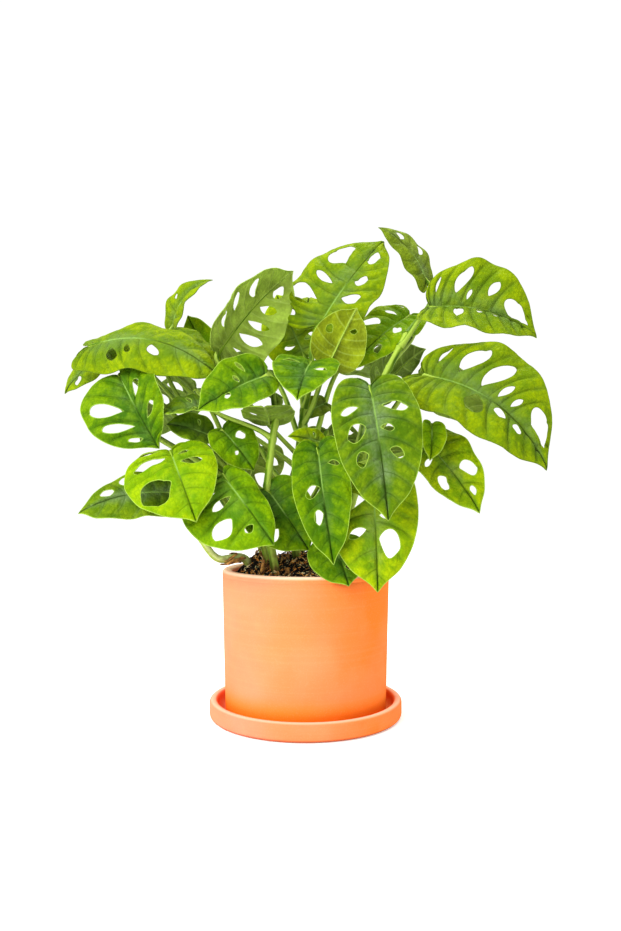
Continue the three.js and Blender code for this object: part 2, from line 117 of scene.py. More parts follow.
def curve_through(points: tuple[Point, ...], count: int) -> np.ndarray:
    """Samples a centripetal Catmull-Rom curve at even steps along its length.

    Args:
        points: The points that the curve runs through.
        count: How many samples to take, both ends included.

    Returns:
        The samples, one row each.
    """
    knots = np.array(points, float)
    knots = np.vstack([2 * knots[0] - knots[1], knots, 2 * knots[-1] - knots[-2]])
    fine = []
    for before, start, end, after in zip(knots, knots[1:], knots[2:], knots[3:]):
        gaps = [np.linalg.norm(b - a) ** 0.5 for a, b in ((before, start), (start, end), (end, after))]
        leave = (start - before) / gaps[0] - (end - before) / (gaps[0] + gaps[1]) + (end - start) / gaps[1]
        arrive = (end - start) / gaps[1] - (after - start) / (gaps[1] + gaps[2]) + (after - end) / gaps[2]
        leave, arrive = leave * gaps[1], arrive * gaps[1]
        for share in np.linspace(0, 1, SPAN_STEPS, endpoint=False):
            square, cube = share**2, share**3
            fine.append(
                (2 * cube - 3 * square + 1) * start
                + (cube - 2 * square + share) * leave
                + (3 * square - 2 * cube) * end
                + (cube - square) * arrive
            )
    fine.append(knots[-2])
    return resampled(np.array(fine), count)


def resampled(path: np.ndarray, count: int) -> np.ndarray:
    """Spaces a path's points evenly along its length.

    Args:
        path: The points, one row each.
        count: How many points to give back.

    Returns:
        The evenly spaced points.
    """
    steps = np.linalg.norm(np.diff(path, axis=0), axis=1)
    run = np.concatenate([[0], np.cumsum(steps)])
    wanted = np.linspace(0, run[-1], count)
    return np.stack([np.interp(wanted, run, path[:, axis]) for axis in range(3)], axis=1)


def make_object(name: str, data: bpy.types.ID) -> bpy.types.Object:
    """Puts a mesh, a light or a camera into the scene as an object at the origin.

    Args:
        name: The object's name.
        data: The mesh, light or camera.

    Returns:
        The new object.
    """
    made = bpy.data.objects.new(name, data)
    bpy.context.scene.collection.objects.link(made)
    return made


def make_mesh(name: str, points: np.ndarray, faces: list, materials: list) -> bpy.types.Mesh:
    """Makes a smooth mesh from points in millimetres.

    Args:
        name: The mesh's name.
        points: One row for each corner.
        faces: The corners of each face, seen from outside against the clock.
        materials: The mesh's material slots.

    Returns:
        The new mesh, in metres.
    """
    mesh = bpy.data.meshes.new(name)
    mesh.from_pydata((np.asarray(points) * MM).tolist(), [], faces)
    for material in materials:
        mesh.materials.append(material)
    mesh.shade_smooth()
    mesh.validate()
    return mesh


def dress(piece: bpy.types.Object, node: str) -> None:
    """Lets a finished piece stand for a CAD node.

    Args:
        piece: The finished piece.
        node: The CAD node that it stands for.
    """
    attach(piece, BODY)
    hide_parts(node)
    piece.data.calc_loop_triangles()
    log.info("%s: %d triangles", piece.name, len(piece.data.loop_triangles))


class Bench:
    """Adds nodes to one node tree, with their values and links in the same call."""

    def __init__(self, tree: bpy.types.NodeTree) -> None:
        """Takes the tree to work on."""
        self.tree = tree

    def feed(self, node: bpy.types.Node, values: dict) -> None:
        """Gives a node's inputs their values.

        Args:
            node: The node.
            values: For an input's name or number, a plain value or the output that feeds it.
        """
        for key, value in values.items():
            if isinstance(value, bpy.types.NodeSocket):
                self.tree.links.new(value, node.inputs[key])
            else:
                node.inputs[key].default_value = value

    def out(self, kind: str, values: dict | None = None, pick: object = 0, **settings: object) -> Socket:
        """Adds one node.

        Args:
            kind: The node's type name.
            values: Its inputs' values, as feed takes them.
            pick: The name or number of the output that is wanted.
            settings: The node's own properties.

        Returns:
            The wanted output.
        """
        node = self.tree.nodes.new(kind)
        for name, setting in settings.items():
            setattr(node, name, setting)
        self.feed(node, values or {})
        return node.outputs[pick]

    def maths(self, operation: str, *values: object) -> Socket:
        """Adds a maths node and returns its result."""
        return self.out("ShaderNodeMath", dict(enumerate(values)), operation=operation)

    def plus(self, first: object, second: object) -> Socket:
        """Adds two values up."""
        return self.maths("ADD", first, second)

    def times(self, first: object, second: object) -> Socket:
        """Multiplies two values."""
        return self.maths("MULTIPLY", first, second)

    def vectors(self, operation: str, values: dict) -> Socket:
        """Adds a vector maths node and returns its result."""
        return self.out("ShaderNodeVectorMath", values, operation=operation)

    def part(self, vector: Socket, axis: str) -> Socket:
        """Returns a vector's part along an axis."""
        return self.out("ShaderNodeSeparateXYZ", {0: vector}, axis)

    def ramp(self, value: object, start: float, end: float, low: float = 0.0, high: float = 1.0) -> Socket:
        """Maps a value smoothly from one range to another.

        Args:
            value: The output to map.
            start: The value that gives low.
            end: The value that gives high.
            low: The result at and before start.
            high: The result at and after end.

        Returns:
            The mapped output.
        """
        ranges = {"Value": value, "From Min": start, "From Max": end, "To Min": low, "To Max": high}
        return self.out("ShaderNodeMapRange", ranges, "Result", interpolation_type="SMOOTHSTEP")

    def place(self) -> Socket:
        """Returns where each place lies on the object."""
        return self.out("ShaderNodeTexCoord", pick="Object")

    def stored(self, name: str, pick: str = "Vector") -> Socket:
        """Reads what a mesh holds for a shader under a name."""
        return self.out("ShaderNodeAttribute", pick=pick, attribute_name=name)

    def noise(self, place: Socket, scale: float, detail: float = 2.0) -> Socket:
        """Returns a cloudy noise at each place."""
        return self.out("ShaderNodeTexNoise", {"Vector": place, "Scale": scale, "Detail": detail}, "Fac")

    def grain(self, scale: float, detail: float) -> Socket:
        """Gives a noise that runs from about 0 to 1.

        Args:
            scale: How many lumps lie along a metre.
            detail: How many finer layers it has.

        Returns:
            The noise's value.
        """
        return self.ramp(self.noise(self.place(), scale, detail), *NOISE_RANGE)

    def blend(self, share: object, under: object, over: object) -> Socket:
        """Mixes two colours.

        Args:
            share: How much of the second colour shows, from 0 to 1.
            under: The first colour, or the output that gives it.
            over: The second colour, or the output that gives it.

        Returns:
            The mixed colour.
        """
        wide = [(*c, 1.0) if isinstance(c, tuple) else c for c in (under, over)]
        return self.out("ShaderNodeMix", {0: share, 6: wide[0], 7: wide[1]}, 2, data_type="RGBA")

    def bump(self, height: Socket, strength: float, distance: float) -> Socket:
        """Turns a height into the way that a surface looks."""
        return self.out("ShaderNodeBump", {"Height": height, "Strength": strength, "Distance": distance})

    def draw(self, low: object, high: object, seed: int) -> Socket:
        """Draws a random number or vector for each place.

        Args:
            low: The least of it.
            high: The most of it.
            seed: The draw's seed.

        Returns:
            The drawn number or vector.
        """
        wide = isinstance(low, tuple)
        first, kind = (0, "FLOAT_VECTOR") if wide else (2, "FLOAT")
        values = {first: low, first + 1: high, "Seed": seed}
        return self.out("FunctionNodeRandomValue", values, 0 if wide else 1, data_type=kind)

    def store(self, name: str, shape: Socket, value: Socket, **settings: str) -> Socket:
        """Stores a value on a shape under a name."""
        values = {"Geometry": shape, "Name": name, "Value": value}
        return self.out("GeometryNodeStoreNamedAttribute", values, **settings)

    def tube(self, line: Socket, ring: Socket, girth: object = 1.0) -> Socket:
        """Sweeps a ring along a line, so many times its size."""
        values = {"Curve": line, "Profile Curve": ring, "Scale": girth, "Fill Caps": True}
        return self.out("GeometryNodeCurveToMesh", values)

    def shift(self, shape: Socket, way: Socket, far: Socket) -> Socket:
        """Shifts each point of a shape, so far along its way."""
        push = self.vectors("SCALE", {0: way, "Scale": far})
        return self.out("GeometryNodeSetPosition", {"Geometry": shape, "Offset": push})


class NodeTool:
    """A Geometry Nodes tree with named inputs, which turns a plain mesh into a finished one."""

    def __init__(self, name: str) -> None:
        """Starts the tree with one mesh going in and one coming out.

        Args:
            name: The tree's name.
        """
        self.tree = bpy.data.node_groups.new(name, "GeometryNodeTree")
        self.bench = Bench(self.tree)
        for way in ("INPUT", "OUTPUT"):
            self.tree.interface.new_socket("Mesh", in_out=way, socket_type="NodeSocketGeometry")
        self.start = self.tree.nodes.new("NodeGroupInput")

    def size(self, name: str, kind: str = "Float") -> Socket:
        """Adds a named input.

        Args:
            name: The input's name.
            kind: The socket's kind.

        Returns:
            The output inside the tree that gives its value.
        """
        self.tree.interface.new_socket(name, in_out="INPUT", socket_type=f"NodeSocket{kind}")
        return self.start.outputs[name]

    def close(self, shape: Socket) -> None:
        """Ends the tree with plain geometry of one material.

        Args:
            shape: The finished geometry.
        """
        material = self.size("Material", "Material")
        whole = self.bench.out("GeometryNodeRealizeInstances", {"Geometry": shape})
        dressed = self.bench.out("GeometryNodeSetMaterial", {"Geometry": whole, "Material": material})
        self.bench.feed(self.tree.nodes.new("NodeGroupOutput"), {"Mesh": dressed})

    def run(self, source: bpy.types.Mesh, **values: object) -> bpy.types.Mesh:
        """Runs the tree on a mesh.

        Args:
            source: The mesh that goes in, which is used up.
            values: The inputs' values, with _ for a space in a name.

        Returns:
            The plain mesh that comes out.
        """
        carrier = make_object(source.name, source)
        modifier = carrier.modifiers.new(self.tree.name, "NODES")
        modifier.node_group = self.tree
        for item in self.tree.interface.items_tree:
            key = item.name.replace(" ", "_")
            if item.in_out == "INPUT" and key in values:
                modifier[item.identifier] = values[key]
        graph = bpy.context.evaluated_depsgraph_get()
        made = bpy.data.meshes.new_from_object(carrier.evaluated_get(graph), depsgraph=graph)
        carrier.modifiers.remove(modifier)
        bpy.data.objects.remove(carrier)
        bpy.data.meshes.remove(source)
        return made


# ------------------------------------------------------------------ finishes


@dataclass(frozen=True)
class Finish:
    """A surface finish. Each kind of finish adds its own nodes to a new material."""

    name: str

    def make(self) -> bpy.types.Material:
        """Makes the finish's material.

        Returns:
            The new material.
        """
        material = bpy.data.materials.new(self.name)
        material.use_nodes = True
        nodes = material.node_tree.nodes
        nodes.clear()
        bench = Bench(material.node_tree)
        surface = nodes.new("ShaderNodeBsdfPrincipled")
        bench.feed(nodes.new("ShaderNodeOutputMaterial"), {"Surface": surface.outputs[0]})
        bench.feed(surface, self.shade(bench))
        return material

    def shade(self, bench: Bench) -> dict:
        """Returns the values of the surface's sockets. Each finish has its own."""
        raise NotImplementedError


@dataclass(frozen=True)
class Terracotta(Finish):
    """Matte fired clay: cloudy, with painted light on one side, a painted rim highlight and a fine grain."""

    clay: Colour = (0.88, 0.245, 0.042)
    # painted light: the colour of the side that the light falls on
    lit_side: Colour = (0.9, 0.285, 0.16)
    # painted highlight along the top of the rim, also the colour of the pale specks
    highlight_and_speck: Colour = (0.96, 0.66, 0.5)
    chalk: Colour = (0.93, 0.42, 0.22)
    # the colour of the bottom band: more saturated orange on the pot, a painted contact shadow on the saucer
    low_tint_and_contact_shade: Colour = (0.9, 0.27, 0.012)
    lit_side_ramp: Range = (0.1, -0.075)
    lit_side_start: float = -0.2
    lit_side_grain: Grain = (14, 3)
    lit_side_clouds: float = 0.35
    cloud_grain: Grain = (24, 5)
    clouds: Range = (0.3, 1.0, 0.0, 0.13)
    mark_stretch: Point = (0.06, 0.06, 7.0)
    mark_grain: Grain = (62, 3)
    marks: Range = (0.5, 0.72, 0.0, 0.09)
    mark_height: float = 0.8
    foot: Range = (0.034, 0.012, 0.0, 0.9)
    # the top of the rim, where the painted highlight lies
    rim: Range = (0.1278, 0.1305, 0.0, 0.95)
    speck_grain: Grain = (900, 1)
    specks: Range = (0.72, 0.95, 0.0, 0.04)
    fine_grain: Grain = (1400, 3)
    coarse_grain: Grain = (220, 2)
    relief: Relief = (0.16, 0.0005)
    roughness: float = 0.85
    gloss: float = 0.1

    def shade(self, bench: Bench) -> dict:
        """Paints the clay, with the level marks that the turning of the wheel leaves.

        Args:
            bench: The bench to add the nodes with.

        Returns:
            The values of the surface's sockets.
        """
        across, height = (bench.part(bench.place(), axis) for axis in "XZ")
        # painted light: one side is paler, as if lit from there, broken by clouds
        lit_side = bench.plus(bench.ramp(across, *self.lit_side_ramp), self.lit_side_start)
        lit_side = bench.plus(lit_side, bench.times(bench.grain(*self.lit_side_grain), self.lit_side_clouds))
        stretched = bench.vectors("MULTIPLY", {0: bench.place(), 1: self.mark_stretch})
        marks = bench.noise(stretched, *self.mark_grain)
        colour = self.clay
        for share, over in (
            (lit_side, self.lit_side),
            (bench.ramp(bench.grain(*self.cloud_grain), *self.clouds), self.chalk),
            (bench.ramp(marks, *self.marks), self.chalk),
            # the bottom band: more saturated orange on the pot; on the saucer a painted contact shadow along
            # the foot
            (bench.ramp(height, *self.foot), self.low_tint_and_contact_shade),
            # painted highlight along the top of the rim
            (bench.ramp(height, *self.rim), self.highlight_and_speck),
            # pale specks, in the same colour as the painted rim highlight
            (bench.ramp(bench.grain(*self.speck_grain), *self.specks), self.highlight_and_speck),
        ):
            colour = bench.blend(share, colour, over)
        relief = bench.plus(bench.grain(*self.fine_grain), bench.grain(*self.coarse_grain))
        relief = bench.plus(relief, bench.times(marks, self.mark_height))
        return {"Base Color": colour, "Roughness": self.roughness, "Specular IOR Level": self.gloss,
                "Normal": bench.bump(relief, *self.relief)}


@dataclass(frozen=True)
class LeafTone:
    """The colours of a kind of blade: by the veins, between them, painted sheen by the midrib, and beneath.
    """

    shade: Colour
    light: Colour
    # painted sheen, grey-green, and how much of it shows
    sheen: Colour
    sheen_share: float
    under: Colour
    edge: Colour


class Look(Enum):
    """The kinds of leaf on the plant. Two blades that lie in shade are given brighter looks: painted light.
    """

    MATURE = "mature"
    DEEP = "deep"
    BRIGHT = "bright"
    YOUNG = "young"
    # blades with the most painted sheen
    SHEENY = "sheeny"
    DULL = "dull"
    FRESH = "fresh"


DARK_EDGE: Colour = (0.13, 0.19, 0.02)
PALE_LIME: Colour = (0.36, 0.5, 0.1)
# each tone: by the veins, between them, the painted sheen and its share, beneath, and the edge
TONES = {
    Look.MATURE: LeafTone((0.124, 0.208, 0.007), (0.248, 0.327, 0.003), (0.158, 0.240, 0.070), 0.75,
                          (0.23, 0.336, 0.044), DARK_EDGE),
    Look.DEEP: LeafTone((0.06, 0.15, 0.003), (0.177, 0.288, 0.003), (0.111, 0.197, 0.054), 0.6,
                        (0.195, 0.292, 0.035), PALE_LIME),
    Look.BRIGHT: LeafTone((0.15, 0.266, 0.005), (0.336, 0.429, 0.004), (0.232, 0.319, 0.086), 0.6,
                          (0.266, 0.389, 0.044), PALE_LIME),
    Look.YOUNG: LeafTone((0.15, 0.283, 0.003), (0.292, 0.407, 0.003), (0.214, 0.338, 0.027), 0.35,
                         (0.301, 0.372, 0.009), PALE_LIME),
    Look.SHEENY: LeafTone((0.075, 0.155, 0.005), (0.186, 0.274, 0.009), (0.176, 0.253, 0.108), 0.95,
                        (0.221, 0.327, 0.053), PALE_LIME),
    # the under face is brightened: painted light for the light that shines through the blade
    Look.DULL: LeafTone((0.124, 0.177, 0.013), (0.221, 0.301, 0.018), (0.186, 0.253, 0.077), 0.8,
                        (0.407, 0.549, 0.089), DARK_EDGE),
    Look.FRESH: LeafTone((0.093, 0.208, 0.004), (0.217, 0.35, 0.003), (0.149, 0.263, 0.047), 0.5,
                         (0.212, 0.319, 0.035), PALE_LIME),
}


@dataclass(frozen=True)
class LeafSide(Finish):
    """What both faces of a blade share: each reads how far a place lies from rib, vein and edge.

    The ranges of lines and edges are in millimetres. The rest runs from 0 to 1.
    """

    tone: LeafTone
    cell_scale: float = 210.0
    puff: Range = (0.0, 0.4)
    net_grain: Grain = (420, 2)
    net_share: float = 0.5
    net_height: float = 0.0007

    def cells(self, bench: Bench) -> Socket:
        """Gives how far each place lies from the smallest veins, which part the blade into small cells."""
        values = {"Vector": bench.place(), "Scale": self.cell_scale}
        return bench.out("ShaderNodeTexVoronoi", values, "Distance", feature="DISTANCE_TO_EDGE")

    def net(self, bench: Bench, strength: float) -> Socket:
        """Raises the fine net of the smallest veins.

        Args:
            bench: The bench to add the nodes with.
            strength: How strongly the net shows.

        Returns:
            The way that the surface looks.
        """
        fine = bench.times(bench.grain(*self.net_grain), self.net_share)
        height = bench.plus(bench.ramp(self.cells(bench), *self.puff), fine)
        return bench.bump(height, strength, self.net_height)

    @staticmethod
    def lines(bench: Bench, vein: Range, minor: Range) -> Socket:
        """Draws the side veins and the lesser veins.

        Args:
            bench: The bench to add the nodes with.
            vein: How a side vein fades.
            minor: How a lesser vein fades.

        Returns:
            How much of the veins' colour shows.
        """
        to_vein = bench.part(bench.stored("lamina"), "Y")
        to_minor = bench.part(bench.stored("spread"), "Z")
        return bench.maths("MAXIMUM", bench.ramp(to_vein, *vein), bench.ramp(to_minor, *minor))


@dataclass(frozen=True)
class LeafFace(LeafSide):
    """The upper face of a blade, with a painted sheen, painted shade by its veins and its thin pale margin.
    """

    pale_rib: Colour = (0.27, 0.42, 0.11)
    broad_grain: Grain = (45, 2)
    close_grain: Grain = (150, 3)
    clouds: Range = (0.2, 1.8, 0.1, 0.92)
    outer_light: Range = (0.1, 1.0, -0.2, 0.25)
    # painted shade: the lamina is darker near each side vein, where it dips into the groove
    vein_shade: Range = (0.3, 5.0, 0.76, 1.08)
    rib_sheen: Range = (0.6, 0.0, -0.1, 0.8)
    vein_sheen: Range = (3.5, 1.0, 0.0, 0.25)
    sheen_grain: Grain = (38, 3)
    sheen_clouds: Range = (0.2, 0.8, 0.35, 1.15)
    groove_shade_share: float = 0.45
    # painted shade: the thin dark lines are the shaded sides of the vein grooves
    vein_line: Range = (0.75, 0.1, 0.0, 0.38)
    minor_line: Range = (0.6, 0.1, 0.0, 0.16)
    line_fade: Range = (0.97, 0.5, 0.1, 1.0)
    # painted shade in the creases of the fine net
    crease_shade: Range = (0.14, 0.0, 0.0, 0.32)
    rib_darkens: Range = (0.3, 0.55)
    rib_line: Range = (1.0, 0.3, 0.0, 0.75)
    edge_line: Range = (0.7, 0.2, 0.0, 0.75)
    rough_grain: Grain = (140, 2)
    rough: Range = (0.0, 1.0, 0.36, 0.52)
    gloss: float = 0.045
    net_strength: float = 0.52

    def shade(self, bench: Bench) -> dict:
        """Paints the lamina, its veins and its margin.

        Args:
            bench: The bench to add the nodes with.

        Returns:
            The values of the surface's sockets.
        """
        rib, vein, edge = (bench.part(bench.stored("lamina"), axis) for axis in "XYZ")
        along, out = (bench.part(bench.stored("spread"), axis) for axis in "XY")
        tone = self.tone
        # dark is a painted shade, for the vein grooves and the midrib's groove towards the tip
        dark = tuple(self.groove_shade_share * part for part in tone.shade)
        cloud = bench.plus(bench.grain(*self.broad_grain), bench.grain(*self.close_grain))
        light = bench.plus(bench.ramp(cloud, *self.clouds), bench.ramp(out, *self.outer_light))
        # painted shade by the side veins
        light = bench.times(light, bench.ramp(vein, *self.vein_shade))
        # painted sheen: a grey-green reflection along the midrib and by the side veins, broken by clouds
        sheen = bench.plus(bench.ramp(out, *self.rib_sheen), bench.ramp(vein, *self.vein_sheen))
        sheen = bench.times(sheen, bench.ramp(bench.grain(*self.sheen_grain), *self.sheen_clouds))
        # painted shade: thin dark lines along the side veins and the lesser veins
        lines = self.lines(bench, self.vein_line, self.minor_line)
        lines = bench.times(lines, bench.ramp(out, *self.line_fade))
        rib_colour = bench.blend(bench.ramp(along, *self.rib_darkens), self.pale_rib, dark)
        colour = tone.shade
        for share, over in (
            (light, tone.light),
            (bench.times(sheen, tone.sheen_share), tone.sheen),
            (lines, dark),
            # painted shade in the creases of the fine net
            (bench.ramp(self.cells(bench), *self.crease_shade), tone.shade),
            # the midrib is pale by the stalk; towards the tip a painted shade darkens its groove
            (bench.ramp(rib, *self.rib_line), rib_colour),
            (bench.ramp(edge, *self.edge_line), tone.edge),
        ):
            colour = bench.blend(share, colour, over)
        rough = bench.ramp(bench.grain(*self.rough_grain), *self.rough)
        return {"Base Color": colour, "Roughness": rough, "Specular IOR Level": self.gloss,
                "Normal": self.net(bench, self.net_strength)}


@dataclass(frozen=True)
class LeafUnder(LeafSide):
    """The under face of a blade, paler and duller, with raised pale veins."""

    pale_vein: Colour = (0.48, 0.62, 0.18)
    deep_share: float = 0.6
    cloud_grain: Grain = (60, 3)
    # painted shade in the creases of the fine net
    crease_shade: Range = (0.16, 0.0, 0.0, 0.25)
    vein_line: Range = (1.1, 0.2, 0.0, 0.22)
    minor_line: Range = (0.8, 0.2, 0.0, 0.1)
    rib_line: Range = (1.5, 0.5, 0.0, 0.45)
    edge_line: Range = (0.6, 0.25, 0.0, 0.6)
    roughness: float = 0.55
    gloss: float = 0.2
    net_strength: float = 0.5

    def shade(self, bench: Bench) -> dict:
        """Paints the under face.

        Args:
            bench: The bench to add the nodes with.

        Returns:
            The values of the surface's sockets.
        """
        rib, edge = (bench.part(bench.stored("lamina"), axis) for axis in "XZ")
        deep = tuple(self.deep_share * part for part in self.tone.under)
        colour = deep
        for share, over in (
            (bench.grain(*self.cloud_grain), self.tone.under),
            # painted shade in the creases of the fine net
            (bench.ramp(self.cells(bench), *self.crease_shade), deep),
            (self.lines(bench, self.vein_line, self.minor_line), self.pale_vein),
            (bench.ramp(rib, *self.rib_line), self.pale_vein),
            (bench.ramp(edge, *self.edge_line), PALE_LIME),
        ):
            colour = bench.blend(share, colour, over)
        return {"Base Color": colour, "Roughness": self.roughness, "Specular IOR Level": self.gloss,
                "Normal": self.net(bench, self.net_strength)}


@dataclass(frozen=True)
class StemSkin(Finish):
    """Smooth green skin of a stalk or a vine, with painted highlights along both flanks and a brown foot."""

    green: Colour = (0.075, 0.16, 0.004)
    light: Colour = (0.2, 0.31, 0.02)
    # the colour of the painted highlights along the flanks
    pale: Colour = (0.38, 0.5, 0.09)
    bark: Colour = (0.15, 0.09, 0.03)
    cloud_grain: Grain = (90, 3)
    highlight_band: Range = (0.5, 0.85, 0.0, 0.9)
    bark_height: Range = (0.16, 0.13)
    bark_grain: Grain = (160, 3)
    fine_grain: Grain = (500, 2)
    relief: Relief = (0.2, 0.0005)
    roughness: float = 0.42
    gloss: float = 0.16

    def shade(self, bench: Bench) -> dict:
        """Paints the skin.

        Args:
            bench: The bench to add the nodes with.

        Returns:
            The values of the surface's sockets.
        """
        across = bench.maths("ABSOLUTE", bench.part(bench.stored("section"), "X"))
        brown = bench.ramp(bench.part(bench.place(), "Z"), *self.bark_height)
        colour = bench.blend(bench.grain(*self.cloud_grain), self.green, self.light)
        # painted highlight: pale bands along both flanks of each stem
        colour = bench.blend(bench.ramp(across, *self.highlight_band), colour, self.pale)
        colour = bench.blend(bench.times(brown, bench.grain(*self.bark_grain)), colour, self.bark)
        return {"Base Color": colour, "Roughness": self.roughness, "Specular IOR Level": self.gloss,
                "Normal": bench.bump(bench.grain(*self.fine_grain), *self.relief)}


@dataclass(frozen=True)
class RootBark(Finish):
    """The dry brown skin of old roots and of the stubs at the foot of the vines."""

    dark: Colour = (0.13, 0.05, 0.02)
    light: Colour = (0.66, 0.36, 0.1)
    cloud_grain: Grain = (260, 3)
    fine_grain: Grain = (700, 3)
    relief: Relief = (1.0, 0.0006)
    roughness: float = 0.8

    def shade(self, bench: Bench) -> dict:
        """Paints the bark."""
        colour = bench.blend(bench.grain(*self.cloud_grain), self.dark, self.light)
        return {"Base Color": colour, "Roughness": self.roughness,
                "Normal": bench.bump(bench.grain(*self.fine_grain), *self.relief)}


@dataclass(frozen=True)
class CoirMix(Finish):
    """Loose coir and bark. Each strand or chip has its own tint, over an almost black painted shadow."""

    # almost black: painted shadow in the gaps below the strands, also the colour of the darkest strands
    dark: Colour = (0.006, 0.003, 0.002)
    rust: Colour = (1.0, 0.46, 0.1)
    straw: Colour = (1.0, 0.9, 0.55)
    rusty: Range = (0.4, 0.54)
    golden: Range = (0.7, 0.88)
    shadow_clump_grain: Grain = (330, 2)
    shadow_clumps: Range = (0.46, 0.6, 0.0, 0.95)
    fine_grain: Grain = (1100, 2)
    relief: Relief = (1.0, 0.0006)
    roughness: float = 0.9

    def shade(self, bench: Bench) -> dict:
        """Paints the mix.

        Args:
            bench: The bench to add the nodes with.

        Returns:
            The values of the surface's sockets.
        """
        tint = bench.stored("tint", "Fac")
        colour = bench.blend(bench.ramp(tint, *self.rusty), self.dark, self.rust)
        colour = bench.blend(bench.ramp(tint, *self.golden), colour, self.straw)
        # painted shadow: dark clumps over strands and gaps alike
        colour = bench.blend(bench.ramp(bench.grain(*self.shadow_clump_grain), *self.shadow_clumps), colour, self.dark)
        return {"Base Color": colour, "Roughness": self.roughness,
                "Normal": bench.bump(bench.grain(*self.fine_grain), *self.relief)}


@dataclass(frozen=True)
class Paper(Finish):
    """The plain pale floor."""

    white: Colour = (0.9, 0.9, 0.9)
    glow: float = 0.35
    roughness: float = 0.9

    def shade(self, bench: Bench) -> dict:
        """Paints the floor."""
        return {"Base Color": (*self.white, 1.0), "Emission Color": (1.0, 1.0, 1.0, 1.0),
                "Emission Strength": self.glow, "Roughness": self.roughness, "Specular IOR Level": 0.0}


# ------------------------------------------------------------------ pot and saucer


def eased_corner(corner: tuple, before: tuple, after: tuple, steps: int = 7) -> list[tuple]:
    """Rounds one corner of a profile off.

    Args:
        corner: The sharp corner, as radius and height.
        before: The way from the corner to where the rounding starts.
        after: The way from the corner to where it ends.
        steps: How many points the rounding has.

    Returns:
        The points of the rounding, in order.
    """
    points = []
    for turn in np.linspace(0, math.pi / 2, steps):
        back, on = 1 - math.sin(turn), 1 - math.cos(turn)
        points.append(tuple(corner[i] + before[i] * back + after[i] * on for i in (0, 1)))
    return points


WAVER_SIZE = 1.6  # how fine the unevenness of a turned wall is, in lumps along its radius
WAVER_RISE = 40.0  # the height in millimetres that counts as one radius there


def turned(profile: list[tuple], sides: int, waver: float) -> tuple[list, list]:
    """Turns a closed profile round the upright axis.

    Args:
        profile: Radius and height of each point, the outside from the bottom up. A radius of 0 is a pole.
        sides: How many steps the turn has.
        waver: How far the hand-thrown wall strays, in millimetres.

    Returns:
        The points and the faces.
    """
    points, rings = [], []
    for radius, height in profile:
        if radius == 0:
            rings.append([len(points)] * sides)
            points.append((0, 0, height))
            continue
        rings.append(list(range(len(points), len(points) + sides)))
        for side in range(sides):
            turn = 2 * math.pi * side / sides
            place = Vector((math.cos(turn), math.sin(turn), height / WAVER_RISE))
            out = radius + waver * noise.noise(place * WAVER_SIZE)
            points.append((out * math.cos(turn), out * math.sin(turn), height))
    closed = profile[0][0] != 0
    faces = []
    for low, high in zip(rings, rings[1:] + rings[:1] if closed else rings[1:]):
        for side in range(sides):
            after = (side + 1) % sides
            face = [low[side], low[after], high[after], high[side]]
            faces.append(list(dict.fromkeys(face)))
    return points, faces


